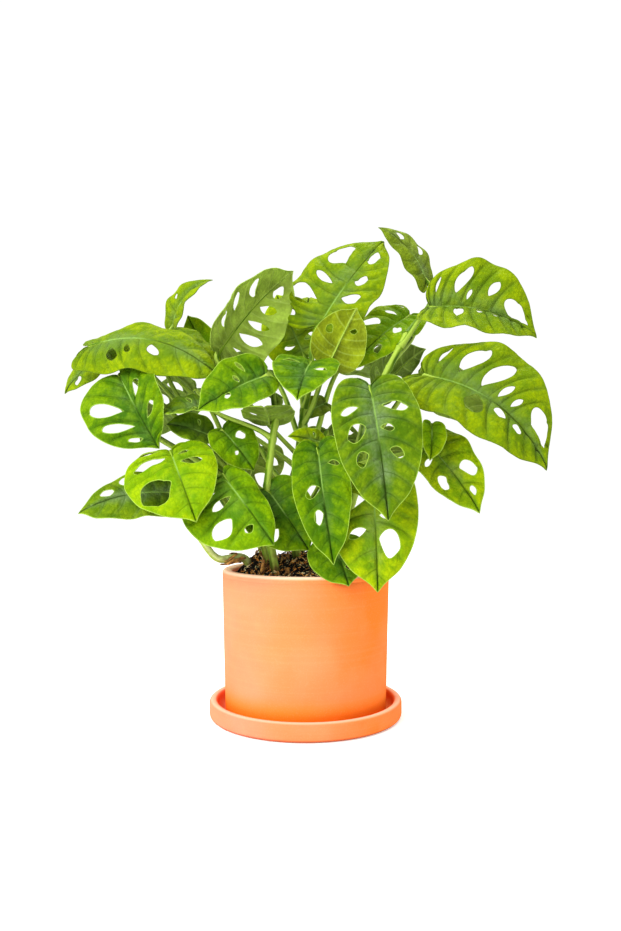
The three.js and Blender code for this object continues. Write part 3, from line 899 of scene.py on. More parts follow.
@dataclass
class Pottery:
    """The pot and the saucer, turned as fine rings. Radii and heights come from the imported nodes."""

    foot_radius: float = 72.0
    wall: float = 8.4
    floor: float = 9.0
    drain_radius: float = 9.0
    lip_edge: float = 3.0
    foot_edge: float = 2.0
    saucer_wall: float = 7.2
    saucer_floor: float = 6.5
    saucer_foot: float = 4.0
    saucer_lip: float = 3.0
    saucer_inner: float = 4.0
    bead_low: float = 6.4
    bead_high: float = 5.0
    bead_deep: float = 0.5
    bead_step: float = 0.05
    sides: int = 192
    waver: float = 0.12
    steps_up: int = 14

    def __post_init__(self) -> None:
        """Reads the pot's and the saucer's boxes."""
        pot_low, pot_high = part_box("pot")
        saucer_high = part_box("saucer")[1]
        self.rim_radius = pot_high.x / MM
        self.top = pot_high.z / MM
        self.bottom = pot_low.z / MM
        self.saucer_radius = saucer_high.x / MM
        self.saucer_top = saucer_high.z / MM

    def inside(self, height: float) -> float:
        """Returns the pot's inner radius at a height."""
        share = (height - self.bottom) / (self.top - self.bottom)
        return self.foot_radius + (self.rim_radius - self.foot_radius) * share - self.wall

    def upright(self, low: tuple, high: tuple) -> list[tuple]:
        """Divides a wall, so that its faces stay short.

        Args:
            low: The wall's lower end, as radius and height.
            high: Its upper end.

        Returns:
            The points between the two.
        """
        shares = np.linspace(0, 1, self.steps_up)[1:-1]
        return [tuple(a + (b - a) * share for a, b in zip(low, high)) for share in shares]

    def pot(self, finish: bpy.types.Material) -> None:
        """Builds the pot.

        Args:
            finish: Its material.
        """
        edge, foot = self.lip_edge, self.foot_edge
        floor_top = self.bottom + self.floor
        foot_round = eased_corner((self.foot_radius, self.bottom), (-foot, 0), (0, foot))
        outer_lip = eased_corner((self.rim_radius, self.top), (0, -edge), (-edge, 0))
        inner_lip = eased_corner((self.inside(self.top), self.top), (edge, 0), (0, -edge))
        inner_foot = eased_corner((self.inside(floor_top), floor_top), (0, edge), (-edge, 0))
        wall_top = (self.rim_radius - self.bead_step, self.top - self.bead_low)
        profile = [
            (self.drain_radius, self.bottom),
            *foot_round,
            *self.upright(foot_round[-1], wall_top),
            wall_top,
            (self.rim_radius - self.bead_deep, self.top - (self.bead_low + self.bead_high) / 2),
            (self.rim_radius, self.top - self.bead_high),
            *outer_lip,
            *inner_lip[1:],
            *self.upright(inner_lip[-1], inner_foot[0]),
            *inner_foot,
            (self.drain_radius, floor_top),
        ]
        points, faces = turned(profile, self.sides, self.waver)
        mesh = make_mesh("terracotta_pot", points, faces, [finish])
        dress(make_object("terracotta_pot", mesh), "pot")

    def saucer(self, finish: bpy.types.Material) -> None:
        """Builds the saucer.

        Args:
            finish: Its material.
        """
        radius, top, floor = self.saucer_radius, self.saucer_top, self.saucer_floor
        foot, edge, inner = self.saucer_foot, self.saucer_lip, self.saucer_inner
        inside = radius - self.saucer_wall
        profile = [
            (0, 0),
            (radius / 2, 0),
            *eased_corner((radius, 0), (-foot, 0), (0, foot)),
            *eased_corner((radius, top), (0, -edge), (-edge, 0)),
            *eased_corner((inside, top), (edge, 0), (0, -edge))[1:],
            *eased_corner((inside, floor), (0, inner), (-inner, 0)),
            (radius / 2, floor),
            (0, floor),
        ]
        points, faces = turned(profile, self.sides, self.waver)
        mesh = make_mesh("terracotta_saucer", points, faces, [finish])
        dress(make_object("terracotta_saucer", mesh), "saucer")


# ------------------------------------------------------------------ soil

LEAN_SEED, GROWTH_SEED, TINT_SEED = 4, 7, 9  # each draw's seed, counted from the litter's own


@dataclass
class Soil:
    """The mounded filling of coir and bark, with loose strands and chips all over it."""

    pottery: Pottery
    edge: float = 123.0
    mound: float = 18.0
    lump: float = 4.0
    lump_size: float = 13.0
    lump_layers: int = 4
    lump_fade: float = 0.85
    slack: float = 0.6
    seat: float = 0.3
    foot_slack: float = 2.6
    rings: int = 26
    sides: int = 110
    clear_wall: float = 5.0
    heap: float = 11.0
    heap_size: float = 13.0
    heap_spot: Pair = (-43.0, -17.0)
    steepest: float = 0.3
    strands: int = 2300
    strand_length: float = 11.0
    strand_radius: float = 0.5
    strand_bow: float = 0.3
    strand_steps: int = 5
    strand_sides: int = 4
    chips: int = 420
    chip_size: float = 1.7
    chip_grain: float = 400.0
    chip_shape: Point = (1.2, 0.75, 0.4)
    lean: float = 0.5
    growth: Pair = (0.5, 1.25)
    tints: Pair = (0.1, 1.0)
    seed: int = 11

    def height(self, across: float, along: float) -> float:
        """Finds the soil's height at a place.

        Args:
            across: The place's distance to the right of the axis, in millimetres.
            along: Its distance behind the axis.

        Returns:
            The height above the table.
        """
        share = math.hypot(across, along) / self.radius
        rise = self.mound * (1 - share * share)
        place = Vector((across, along, 0)) / self.lump_size
        lumps = noise.fractal(place, 1.0, 2.0, self.lump_layers) * self.lump
        off = math.dist((across, along), self.heap_spot) / self.heap_size
        heap = self.heap * math.exp(-off * off)
        return self.edge + rise + (lumps + heap) * smooth_step(share, 1.0, self.lump_fade)

    @property
    def radius(self) -> float:
        """Returns the radius of the soil's upper edge."""
        return self.pottery.inside(self.edge) - self.slack

    def body(self) -> tuple[list, list]:
        """Builds the filling as one closed body.

        Returns:
            The points and the faces.
        """
        bottom = self.pottery.bottom + self.pottery.floor + self.seat
        foot = self.pottery.inside(bottom) - self.slack - self.foot_slack
        points = [(0, 0, bottom)]
        for radius, height in ((foot, bottom), (self.radius, self.edge)):
            points += self.ring(radius, lambda x, y, level=height: level)
        for step in range(1, self.rings):
            points += self.ring(self.radius * (1 - step / self.rings), self.height)
        points.append((0, 0, self.height(0, 0)))
        faces = []
        count = self.sides
        last = 1 + self.rings * count
        for side in range(count):
            after = (side + 1) % count
            faces.append([0, 1 + after, 1 + side])
            for low in range(1, last, count):
                faces.append([low + side, low + after, low + count + after, low + count + side])
            faces.append([last + side, last + after, last + count])
        return points, faces

    def ring(self, radius: float, height: Callable) -> list[tuple]:
        """Lays out one ring of points.

        Args:
            radius: The ring's radius.
            height: A function that gives the height at a place.

        Returns:
            The ring's points.
        """
        turns = [2 * math.pi * side / self.sides for side in range(self.sides)]
        places = [(radius * math.cos(turn), radius * math.sin(turn)) for turn in turns]
        return [(x, y, height(x, y)) for x, y in places]

    def litter_tool(self) -> NodeTool:
        """Builds the tree that strews strands and chips over the top of the filling.

        Returns:
            The finished tree.
        """
        tool = NodeTool("strew_litter")
        bench = tool.bench
        ground = tool.start.outputs["Mesh"]
        parts = [ground]
        flat = bench.vectors("MULTIPLY", {0: bench.out("GeometryNodeInputPosition"), 1: (1.0, 1.0, 0.0)})
        away = bench.out("ShaderNodeVectorMath", {0: flat}, "Value", operation="LENGTH")
        normal = bench.out("GeometryNodeInputNormal")
        upward = bench.maths("GREATER_THAN", bench.part(normal, "Z"), self.steepest)
        inner = bench.times(bench.maths("LESS_THAN", away, tool.size("Reach")), upward)
        lean = (self.lean, self.lean, 2 * math.pi)
        shapes = (("Strand", self.strand(tool)), ("Chip", self.chip(tool)))
        for seed, (kind, shape) in enumerate(shapes, self.seed):
            density = tool.size(f"{kind} density")
            values = {"Mesh": ground, "Selection": inner, "Density": density, "Seed": seed}
            spots = bench.out("GeometryNodeDistributePointsOnFaces", values)
            turn = bench.draw((-self.lean, -self.lean, 0.0), lean, seed + LEAN_SEED)
            turn = bench.out("FunctionNodeEulerToRotation", {0: turn})
            turns = {0: spots.node.outputs["Rotation"], 1: turn}
            values = {
                "Points": spots,
                "Instance": shape,
                "Rotation": bench.out("FunctionNodeRotateRotation", turns, rotation_space="LOCAL"),
                "Scale": bench.draw(*self.growth, seed + GROWTH_SEED),
            }
            strewn = bench.out("GeometryNodeInstanceOnPoints", values)
            tint = bench.draw(*self.tints, seed + TINT_SEED)
            parts.append(bench.store("tint", strewn, tint, data_type="FLOAT", domain="INSTANCE"))
        joined = bench.out("GeometryNodeJoinGeometry")
        for part in reversed(parts):
            bench.tree.links.new(part, joined.node.inputs[0])
        tool.close(joined)
        return tool

    def strand(self, tool: NodeTool) -> Socket:
        """Adds one bent strand of coir, lying along X.

        Args:
            tool: The tree to add it to.

        Returns:
            The strand's shape.
        """
        bench = tool.bench
        long = tool.size("Strand length")
        rise = bench.times(long, self.strand_bow)
        ends = [bench.out("ShaderNodeCombineXYZ", {"X": bench.times(long, side)}) for side in (-0.5, 0.5)]
        middle = bench.out("ShaderNodeCombineXYZ", {"Y": rise, "Z": rise})
        values = {"Resolution": self.strand_steps, "Start": ends[0], "Middle": middle, "End": ends[1]}
        bend = bench.out("GeometryNodeCurveQuadraticBezier", values)
        values = {"Resolution": self.strand_sides, "Radius": tool.size("Strand radius")}
        return bench.tube(bend, bench.out("GeometryNodeCurvePrimitiveCircle", values))

    def chip(self, tool: NodeTool) -> Socket:
        """Adds one flat crooked chip of bark.

        Args:
            tool: The tree to add it to.

        Returns:
            The chip's shape.
        """
        bench = tool.bench
        size = tool.size("Chip size")
        ball = bench.out("GeometryNodeMeshIcoSphere", {"Radius": size, "Subdivisions": 1})
        values = {"Vector": bench.out("GeometryNodeInputPosition"), "Scale": self.chip_grain}
        rough = bench.out("ShaderNodeTexNoise", values, "Color")
        push = bench.vectors("SUBTRACT", {0: rough, 1: (0.5, 0.5, 0.5)})
        bent = bench.shift(ball, push, size)
        return bench.out("GeometryNodeTransform", {"Geometry": bent, "Scale": self.chip_shape})

    def build(self, finish: bpy.types.Material) -> None:
        """Builds the filling with its litter.

        Args:
            finish: Its material.
        """
        area = math.pi * (self.radius * MM) ** 2
        mesh = self.litter_tool().run(
            make_mesh("potting_mix", *self.body(), []),
            Reach=(self.radius - self.clear_wall) * MM,
            Strand_density=self.strands / area,
            Strand_length=self.strand_length * MM,
            Strand_radius=self.strand_radius * MM,
            Chip_density=self.chips / area,
            Chip_size=self.chip_size * MM,
            Material=finish,
        )
        mesh.name = "potting_mix"
        dress(make_object("potting_mix", mesh), "soil")


# ------------------------------------------------------------------ vines and stalks


@dataclass
class StemTool:
    """Makes round stems along a path, by one Geometry Nodes tree."""

    sides: int = 14
    lump_grain: float = 160.0

    def __post_init__(self) -> None:
        """Builds the tree."""
        self.tool = NodeTool("round_stem")
        bench = self.tool.bench
        place = bench.out("GeometryNodeInputPosition")
        line = bench.out("GeometryNodeMeshToCurve", {"Mesh": self.tool.start.outputs["Mesh"]})
        values = {"Resolution": self.tool.size("Sides", "Int"), "Radius": 1.0}
        ring = bench.out("GeometryNodeCurvePrimitiveCircle", values)
        section = bench.store("section", ring, place, data_type="FLOAT_VECTOR", domain="POINT")
        girth = bench.out("GeometryNodeInputNamedAttribute", {"Name": "girth"}, data_type="FLOAT")
        lumps = bench.maths("SUBTRACT", bench.noise(place, self.lump_grain), 0.5)
        push = bench.times(lumps, self.tool.size("Knobbliness"))
        lumpy = bench.shift(bench.tube(line, section, girth), bench.out("GeometryNodeInputNormal"), push)
        self.tool.close(bench.out("GeometryNodeSetShadeSmooth", {"Geometry": lumpy}))

    def stems(self, name: str, paths: list[np.ndarray], radii: list[np.ndarray],
              finish: bpy.types.Material, knobs: float = 0.0) -> bpy.types.Mesh:
        """Makes several stems as one mesh.

        Args:
            name: The mesh's name.
            paths: The points of each stem's axis, in millimetres.
            radii: The radius at each of these points.
            finish: Their material.
            knobs: How far their skin is lumpy, in millimetres.

        Returns:
            The stems' mesh.
        """
        starts = np.cumsum([0, *map(len, paths)])
        edges = [(spot, spot + 1) for low, high in zip(starts, starts[1:]) for spot in range(low, high - 1)]
        line = bpy.data.meshes.new(name)
        line.from_pydata((np.vstack(paths) * MM).tolist(), edges, [])
        girth = line.attributes.new("girth", "FLOAT", "POINT")
        girth.data.foreach_set("value", (np.concatenate(radii) * MM).astype(np.float32))
        return self.tool.run(line, Sides=self.sides, Knobbliness=knobs * MM, Material=finish)


LOW_VINE = 6
VINES: dict[int, tuple[Point, ...]] = {
    1: ((-26, -20, 112), (-40, -26, 165), (-56, -28, 205), (-66, -28, 238)),
    2: ((-22, -38, 112), (-33, -44, 180), (-29, -44, 240), (-22, -40, 282)),
    3: ((-4, -14, 112), (-12, -22, 190), (-5, -24, 245), (2, -18, 296)),
    4: ((24, -8, 112), (32, -14, 190), (50, -20, 250), (68, -22, 298), (92, -10, 344)),
    5: ((-2, 28, 112), (-6, 40, 180), (2, 48, 250)),
    LOW_VINE: ((-44, -8, 112), (-54, -26, 142), (-76, -36, 143), (-92, -38, 163)),
    7: ((28, 22, 112), (42, 34, 180), (54, 42, 238)),
    8: ((-32, 22, 112), (-48, 34, 170), (-60, 40, 220)),
}


@dataclass
class Vines:
    """The stems that rise from the soil, with a swollen ring where each stalk leaves."""

    stems: StemTool
    foot_radius: float = 4.1
    end_radius: float = 2.8
    ring_swell: float = 0.22
    ring_reach: float = 3.0
    tip_reach: float = 5.0
    tip_least: float = 0.12
    samples: int = 70
    knobs: float = 0.9

    def build(self, finish: bpy.types.Material, young: bpy.types.Material) -> None:
        """Builds every vine.

        Args:
            finish: The skin of most vines.
            young: The skin of the low vine that lies over the rim.
        """
        run = np.linspace(0, 1, self.samples)
        for number, points in VINES.items():
            path = curve_through(points, self.samples)
            length = np.linalg.norm(np.diff(path, axis=0), axis=1).sum()
            radii = self.foot_radius + (self.end_radius - self.foot_radius) * run
            for leaf in LEAVES:
                if leaf.vine == number:
                    radii *= 1 + self.ring_swell * hump((run - leaf.at) * length, self.ring_reach)
            to_tip = np.clip((1 - run) * length / self.tip_reach, 0, 1)
            radii *= np.sqrt(np.clip(1 - (1 - to_tip) ** 2, self.tip_least, 1))
            name = f"vine_{number}_stem"
            skin = young if number == LOW_VINE else finish
            mesh = self.stems.stems(name, [path], [radii], skin, self.knobs)
            dress(make_object(name, mesh), f"vine_{number}")


@dataclass
class Roots:
    """Thin dry roots that arch out of the mix or cling to the low vine, and cut stubs of old stems."""

    stems: StemTool
    soil: Soil
    count: int = 46
    samples: int = 9
    radius: float = 0.75
    thickness: Pair = (0.5, 1.3)
    taper: float = 0.6
    reach: float = 13.0
    reaches: Pair = (0.5, 1.2)
    rise: float = 6.5
    rises: Pair = (0.3, 1.2)
    crooked: float = 2.2
    crook_size: float = 7.0
    crook_run: float = 40.0
    middle: Pair = (-34.0, -24.0)
    scatter: float = 15.0
    sunk: float = 4.0
    stubs: tuple[Point, ...] = ((-37, -38, 142), (-52, -22, 138), (-16, -48, 136))
    stub_radii: Point = (2.53, 2.2, 1.54)
    knobs: float = 0.6
    clinging: int = 16
    clinging_from: tuple[int, int] = (25, 33)
    clinging_away: float = 4.1
    clinging_gaps: Pair = (0.95, 1.15)
    clinging_turn: float = 1.3
    clinging_thickness: Pair = (0.9, 1.7)
    clinging_taper: float = 0.5
    vine_samples: int = 60
    seed: int = 5

    def root(self, draw: random.Random) -> np.ndarray:
        """Draws one root's axis from a seeded draw.

        Args:
            draw: The seeded draw.

        Returns:
            The points of the axis.
        """
        across, along = (draw.gauss(middle, self.scatter) for middle in self.middle)
        turn = draw.uniform(0, 2 * math.pi)
        reach = self.reach * draw.uniform(*self.reaches)
        rise = self.rise * draw.uniform(*self.rises)
        points = []
        for t in np.linspace(0, 1, self.samples):
            x, y = across + reach * t * math.cos(turn), along + reach * t * math.sin(turn)
            held = min(1.0, (self.soil.radius - self.sunk) / math.hypot(x, y))
            ground = self.soil.height(x * held, y * held) - self.sunk * (1 - math.sin(math.pi * t))
            wave = noise.noise_vector(Vector((x, y, self.crook_run * t)) / self.crook_size) * self.crooked
            points.append((x * held + wave.x, y * held + wave.y, ground + rise * math.sin(math.pi * t)))
        return np.array(points)

    def wound(self, draw: random.Random) -> np.ndarray:
        """Draws the axis of one root that clings to the low vine.

        Args:
            draw: The seeded draw.

        Returns:
            The points of the axis.
        """
        vine = curve_through(VINES[LOW_VINE], self.vine_samples)
        first = draw.randint(*self.clinging_from)
        axis = vine[first:first + self.samples]
        along = unit(axis[-1] - axis[0])
        side = unit(np.cross(along, (0, 0, 1)))
        turns = draw.uniform(0, 2 * math.pi) + np.linspace(0, self.clinging_turn, self.samples)
        away = np.outer(np.cos(turns), side) + np.outer(np.sin(turns), np.cross(side, along))
        return axis + away * self.clinging_away * draw.uniform(*self.clinging_gaps)

    def girth(self, draw: random.Random, thickness: Pair, taper: float) -> np.ndarray:
        """Draws the radii along one root."""
        return self.radius * draw.uniform(*thickness) * np.linspace(1, taper, self.samples)

    def build(self, finish: bpy.types.Material) -> None:
        """Builds the roots and stubs as one piece.

        Args:
            finish: Their material.
        """
        noise.seed_set(self.seed)  # noise_vector would otherwise start from the clock
        draw = random.Random(self.seed)
        paths = [self.root(draw) for _ in range(self.count)]
        radii = [self.girth(draw, self.thickness, self.taper) for _ in paths]
        for _ in range(self.clinging):
            paths.append(self.wound(draw))
            radii.append(self.girth(draw, self.clinging_thickness, self.clinging_taper))
        for x, y, top in self.stubs:
            foot = self.soil.height(x, y) - self.sunk
            paths.append(np.array([(x, y, foot), (x, y, (foot + top) / 2), (x + 1, y, top)]))
            radii.append(np.array(self.stub_radii))
        mesh = self.stems.stems("old_roots", paths, radii, finish, self.knobs)
        dress(make_object("old_roots", mesh), "soil")


# ------------------------------------------------------------------ leaves


Hole = tuple[int, int, int, int]


@dataclass
class Leaf:
    """One leaf. Its main fields mean what they mean in the part's own source.

    base and tip are the ends of the midrib and face is the way its upper side looks. Angles are in
    degrees. left and right hold the holes of the two halves, from the stalk to the tip. Each hole has its
    place along the margin, how far out its middle lies, its length and its width, all in hundredths. slant
    tells how strongly the side veins lean towards the tip.
    """

    vine: int
    at: float
    base: Point
    tip: Point
    face: Point
    width: float
    left: tuple[Hole, ...] = ()
    right: tuple[Hole, ...] = ()
    look: Look = Look.MATURE
    arch: float = 0
    sweep: float = 0
    fold: float = 0
    curl: float = 0
    skew: float = 0
    slant: float = 2
    neck: Point | None = None

    def __post_init__(self) -> None:
        """Works out the directions that the blade is laid out in."""
        way = np.subtract(self.tip, self.base)
        self.length = float(np.linalg.norm(way))
        self.along = unit(way)
        up = np.array(self.face, float)
        self.up = unit(up - self.along * up.dot(self.along))
        self.to_left = np.cross(self.up, self.along)


LEAVES: tuple[Leaf, ...] = (
    # vine, at, base, tip, face, width; then what differs from the defaults
    # upper right
    Leaf(4, 0.93, (113, -10, 366), (204, -25, 336), (0, -0.88, 0.47), 85, skew=0.1, arch=30, sweep=38,
         fold=26, curl=-10, left=((21, 57, 42, 5), (43, 54, 56, 14), (54, 25, 22, 4), (67, 51, 38, 7),
         (85, 38, 58, 18)), right=((50, 28, 40, 9), (65, 20, 24, 5), (75, 22, 30, 5))),
    Leaf(4, 0.66, (102, -45, 300), (197, -75, 218), (0.15, -0.92, 0.33), 92, skew=0.1, arch=45, sweep=45,
         fold=14, curl=-14, left=((23, 56, 50, 5), (42, 50, 60, 12), (58, 46, 66, 10), (68, 31, 38, 4),
         (75, 30, 32, 3), (86, 58, 56, 17)), right=((60, 38, 46, 11), (73, 24, 26, 7), (82, 30, 28, 5))),
    Leaf(4, 0.99, (114, 22, 398), (68, 14, 446.8), (0.5, -0.75, 0.4), 43, skew=-0.2, arch=30, sweep=-45,
         fold=-10, look=Look.DULL, right=((56, 66, 53, 10), (82, 42, 67, 9))),
    # a brighter look: painted light on a blade that lies in shade
    Leaf(4, 0.84, (98, 26, 366), (38, -4, 308), (-0.2, -0.8, 0.6), 57, skew=-0.12, arch=35, fold=8, curl=-12,
         look=Look.YOUNG, left=((54, 32, 40, 11), (76, 50, 46, 8)), right=((14, 66, 36, 7), (36, 42, 42, 7),
         (54, 64, 52, 14))),
    # middle top
    Leaf(3, 0.99, (12, -5, 350), (74, 25, 437), (-0.3, -0.85, 0.4), 90, skew=0.19, arch=25, fold=6, curl=-16,
         left=((26, 74, 30, 9), (43, 58, 66, 16), (61, 46, 46, 6), (78, 66, 50, 18)), right=((53, 42, 50, 8),
         (68, 40, 36, 9), (85, 42, 56, 10))),
    # a brighter look: painted light on a blade that lies in shade
    Leaf(3, 0.94, (-1, 28, 328), (-28, 34, 388), (-0.3, -0.8, 0.4), 62, arch=20, fold=8, look=Look.BRIGHT,
         left=((44, 30, 36, 8), (64, 50, 36, 9)), right=((46, 40, 36, 8), (62, 34, 41, 9), (78, 34, 31, 8))),
    Leaf(3, 0.8, (21, -32, 313), (45, -26, 362), (0.1, 0.8, 0.5), 50, arch=30, fold=-10, look=Look.YOUNG,
         left=((78, 43, 36, 6),), right=((66, 60, 31, 12),)),
    # front right
    Leaf(4, 0.55, (52, -85, 285), (64, -107, 178), (0, -0.94, 0.3), 70, arch=40, fold=12, curl=-18,
         look=Look.SHEENY, left=((42, 47, 56, 9), (58, 24, 30, 5), (70, 45, 36, 6)), right=((42, 58, 40, 6),
         (57, 51, 46, 11), (71, 55, 34, 8))),
    Leaf(4, 0.36, (55, -66, 217), (57, -92, 121), (0, -0.95, 0.25), 75, skew=-0.06, arch=30, fold=6,
         curl=-10, look=Look.BRIGHT, left=((30, 60, 60, 9), (62, 22, 22, 4), (76, 42, 64, 19)),
         right=((50, 52, 66, 13), (70, 46, 44, 6))),
    Leaf(4, 0.44, (100, -50, 244), (142, -75, 183), (0.1, -0.9, 0.4), 54, arch=35, fold=10, look=Look.BRIGHT,
         left=((69, 58, 56, 15), (86, 40, 40, 7)), right=((50, 50, 46, 6), (69, 62, 42, 13))),
    Leaf(4, 0.6, (104, -68, 256), (101, -78, 226), (0.2, -0.9, 0.3), 24, neck=(0.3, -0.8, 0.1), arch=30,
         fold=25, look=Look.YOUNG),
    # left
    Leaf(1, 0.78, (-192, -18, 330), (-71, -45, 296), (0, -0.85, 0.5), 62, neck=(-0.7, -0.4, 0.5), arch=50,
         sweep=45, fold=-22, curl=-8, right=((44, 47, 38, 8), (54, 35, 25, 4), (68, 34, 34, 7))),
    Leaf(1, 0.85, (-172, 16, 338), (-222, 8, 290), (-0.4, -0.8, 0.5), 42, arch=40, fold=-8,
         left=((58, 68, 36, 8), (84, 50, 67, 8))),
    Leaf(1, 0.7, (-164, -22, 303), (-124, -50, 237), (-0.3, -0.9, 0.25), 75, skew=-0.22, arch=25, fold=12,
         curl=-12, slant=0.62, look=Look.DEEP, left=((28, 36, 36, 12), (60, 42, 44, 12)),
         right=((38, 54, 62, 18), (61, 50, 62, 12), (80, 46, 40, 7))),
    Leaf(5, 0.76, (-125, 20, 354), (-88, 24, 400), (-0.6, -0.65, 0.4), 34, arch=80, fold=12,
         left=((60, 60, 31, 6),)),
    Leaf(5, 0.84, (-88, 38, 326), (-113, 34, 368), (-0.5, -0.8, 0.4), 34, arch=30, fold=10, look=Look.YOUNG,
         left=((70, 50, 48, 9),)),
    Leaf(1, 0.91, (-120, -4, 344), (-83, -12, 305), (0.2, -0.75, 0.6), 44, arch=35, fold=-10,
         right=((66, 58, 31, 6), (82, 30, 41, 8))),
    Leaf(2, 0.78, (-88, -36, 275), (-124, -46, 266), (0, -0.45, 0.9), 40, arch=20, fold=10, look=Look.SHEENY,
         left=((50, 50, 48, 8),), right=((50, 50, 48, 8),)),
    # middle
    Leaf(2, 0.98, (-76, -20, 325), (-12, 16, 406), (-0.5, 0.8, 0.35), 78, arch=20, sweep=-10, fold=-30,
         look=Look.DULL, left=((36, 50, 60, 5), (50, 44, 62, 9), (62, 40, 56, 6), (74, 40, 52, 7),
         (86, 38, 46, 9)), right=((38, 62, 44, 8), (56, 58, 46, 7), (71, 60, 50, 8))),
    Leaf(2, 0.92, (-34, -50, 299), (-90, -62, 268), (0, -0.85, 0.5), 54, arch=30, fold=14, look=Look.DEEP,
         left=((75, 32, 41, 6),), right=((47, 56, 41, 5), (60, 26, 29, 5))),
    Leaf(2, 0.86, (-31, -38, 258), (-34, -84, 269), (0, 0.3, 1), 46, arch=30, fold=10,
         right=((50, 50, 48, 8),)),
    Leaf(3, 0.88, (4, -36, 312), (-7, -80, 275), (0, -0.6, 0.8), 58, arch=40, fold=12, look=Look.DEEP,
         left=((60, 50, 43, 6),), right=((45, 50, 48, 6),)),
    Leaf(5, 0.44, (18, -4, 280), (-6, -12, 266), (0, -0.8, 0.5), 24, arch=30, fold=12, look=Look.DULL),
    # low front
    Leaf(3, 0.62, (14, -50, 242), (-15, -60, 247), (0, -0.85, 0.5), 20, arch=30, fold=20, look=Look.BRIGHT,
         right=((50, 46, 48, 8),)),
    Leaf(3, 0.55, (10, -72, 236), (22, -96, 143), (-0.15, -0.95, 0.2), 48, arch=30, fold=14, curl=-8,
         look=Look.DEEP, left=((40, 50, 40, 5),), right=((60, 36, 54, 9), (76, 34, 44, 9))),
    Leaf(2, 0.55, (-32, -46, 202), (3, -56, 151), (-0.1, -0.85, 0.4), 62, skew=-0.15, arch=30, fold=12,
         look=Look.DEEP, right=((39, 54, 29, 5), (55, 58, 22, 5), (71, 68, 46, 10))),
    Leaf(1, 0.34, (-68, -68, 214), (-25, -86, 158), (0.1, -0.9, 0.35), 68, skew=-0.45, arch=20, fold=-8,
         look=Look.FRESH, right=((38, 50, 44, 5), (52, 32, 40, 9), (68, 64, 50, 15), (82, 32, 30, 6))),
    Leaf(3, 0.4, (22, -56, 160), (35, -76, 124), (0, -0.8, 0.5), 50, arch=40, fold=-6, look=Look.DEEP,
         left=((80, 34, 46, 8),)),
    Leaf(1, 0.46, (-114, -50, 234), (-86, -96, 177), (-0.1, -0.8, 0.6), 78, skew=-0.16,
         neck=(-0.5, -0.8, 0.2), arch=40, fold=4, curl=-12, look=Look.YOUNG, left=((36, 30, 30, 6),
         (52, 42, 52, 10)), right=((16, 54, 56, 8), (36, 46, 64, 12), (69, 58, 72, 25))),
    Leaf(6, 0.97, (-111, -42, 199), (-193, -48, 182), (-0.1, -0.85, 0.5), 46, arch=30, sweep=-28, fold=-8,
         look=Look.SHEENY, right=((62, 62, 56, 14), (80, 42, 54, 10))),
    Leaf(1, 0.99, (-85, -27, 250), (-122, -32, 259), (0, -0.85, 0.5), 30, arch=40, fold=14, look=Look.SHEENY,
         right=((50, 50, 36, 6),)),
    Leaf(2, 0.48, (-72, -36, 254), (-44, -44, 218), (0.2, -0.9, 0.4), 40, arch=30, fold=8, look=Look.FRESH,
         left=((53, 42, 43, 17),), right=((73, 26, 29, 6),)),
    Leaf(1, 0.4, (-62, -10, 227), (-90, -14, 200), (-0.3, -0.8, 0.4), 28, arch=30, fold=10, look=Look.BRIGHT,
         right=((50, 40, 50, 10),)),
    # back
    Leaf(7, 0.86, (70, 34, 294), (116, 44, 338), (0.2, 0.5, 0.8), 56, arch=35, fold=8, look=Look.DEEP,
         left=((38, 50, 60, 12), (62, 50, 60, 10)), right=((38, 50, 60, 10), (62, 50, 60, 12))),
    Leaf(5, 0.88, (40, 80, 330), (92, 127, 318), (0.2, 0.6, 0.8), 70, arch=50, fold=8,
         left=((30, 50, 60, 10), (50, 50, 70, 12), (70, 50, 60, 8)), right=((30, 50, 60, 10),
         (50, 50, 70, 10), (70, 50, 60, 8))),
    Leaf(5, 0.92, (-40, 84, 322), (-104, 118, 300), (-0.3, 0.6, 0.8), 72, arch=50, fold=8, look=Look.DEEP,
         left=((30, 50, 60, 10), (50, 50, 70, 12), (70, 50, 60, 8)), right=((30, 50, 60, 10),
         (50, 50, 70, 10), (70, 50, 60, 8))),
    Leaf(5, 0.99, (-4, 78, 350), (4, 132, 408), (0, -0.5, 0.8), 64, arch=35, fold=8, left=((38, 50, 60, 12),
         (62, 50, 70, 15)), right=((38, 50, 70, 15), (62, 50, 60, 12))),
    Leaf(5, 0.62, (22, 98, 262), (40, 128, 182), (0.1, 0.9, 0.35), 66, arch=35, fold=8, curl=-10,
         look=Look.DEEP, left=((30, 50, 60, 10), (50, 50, 70, 12), (70, 50, 60, 8)), right=((30, 50, 70, 12),
         (50, 50, 60, 10))),
    Leaf(5, 0.54, (-46, 92, 244), (-72, 120, 168), (-0.2, 0.9, 0.35), 62, arch=35, fold=8, curl=-10,
         left=((38, 50, 70, 15), (62, 50, 60, 12)), right=((38, 50, 60, 12), (62, 50, 70, 15))),
    Leaf(7, 0.97, (112, 58, 312), (188, 88, 262), (0.4, 0.7, 0.6), 66, arch=45, fold=8, curl=-10,
         left=((30, 50, 60, 10), (50, 50, 70, 12), (70, 50, 60, 8)), right=((30, 50, 70, 12),
         (50, 50, 60, 10), (70, 50, 60, 8))),
    Leaf(7, 0.62, (72, 72, 256), (100, 104, 186), (0.3, 0.85, 0.4), 56, arch=35, fold=8, look=Look.DEEP,
         left=((38, 50, 60, 12), (62, 50, 70, 12)), right=((38, 50, 70, 15), (62, 50, 60, 12))),
    Leaf(8, 0.97, (-108, 58, 300), (-168, 84, 250), (-0.4, 0.7, 0.6), 60, arch=40, fold=8, look=Look.SHEENY,
         left=((38, 50, 60, 12), (62, 50, 70, 15)), right=((38, 50, 70, 15), (62, 50, 60, 12))),
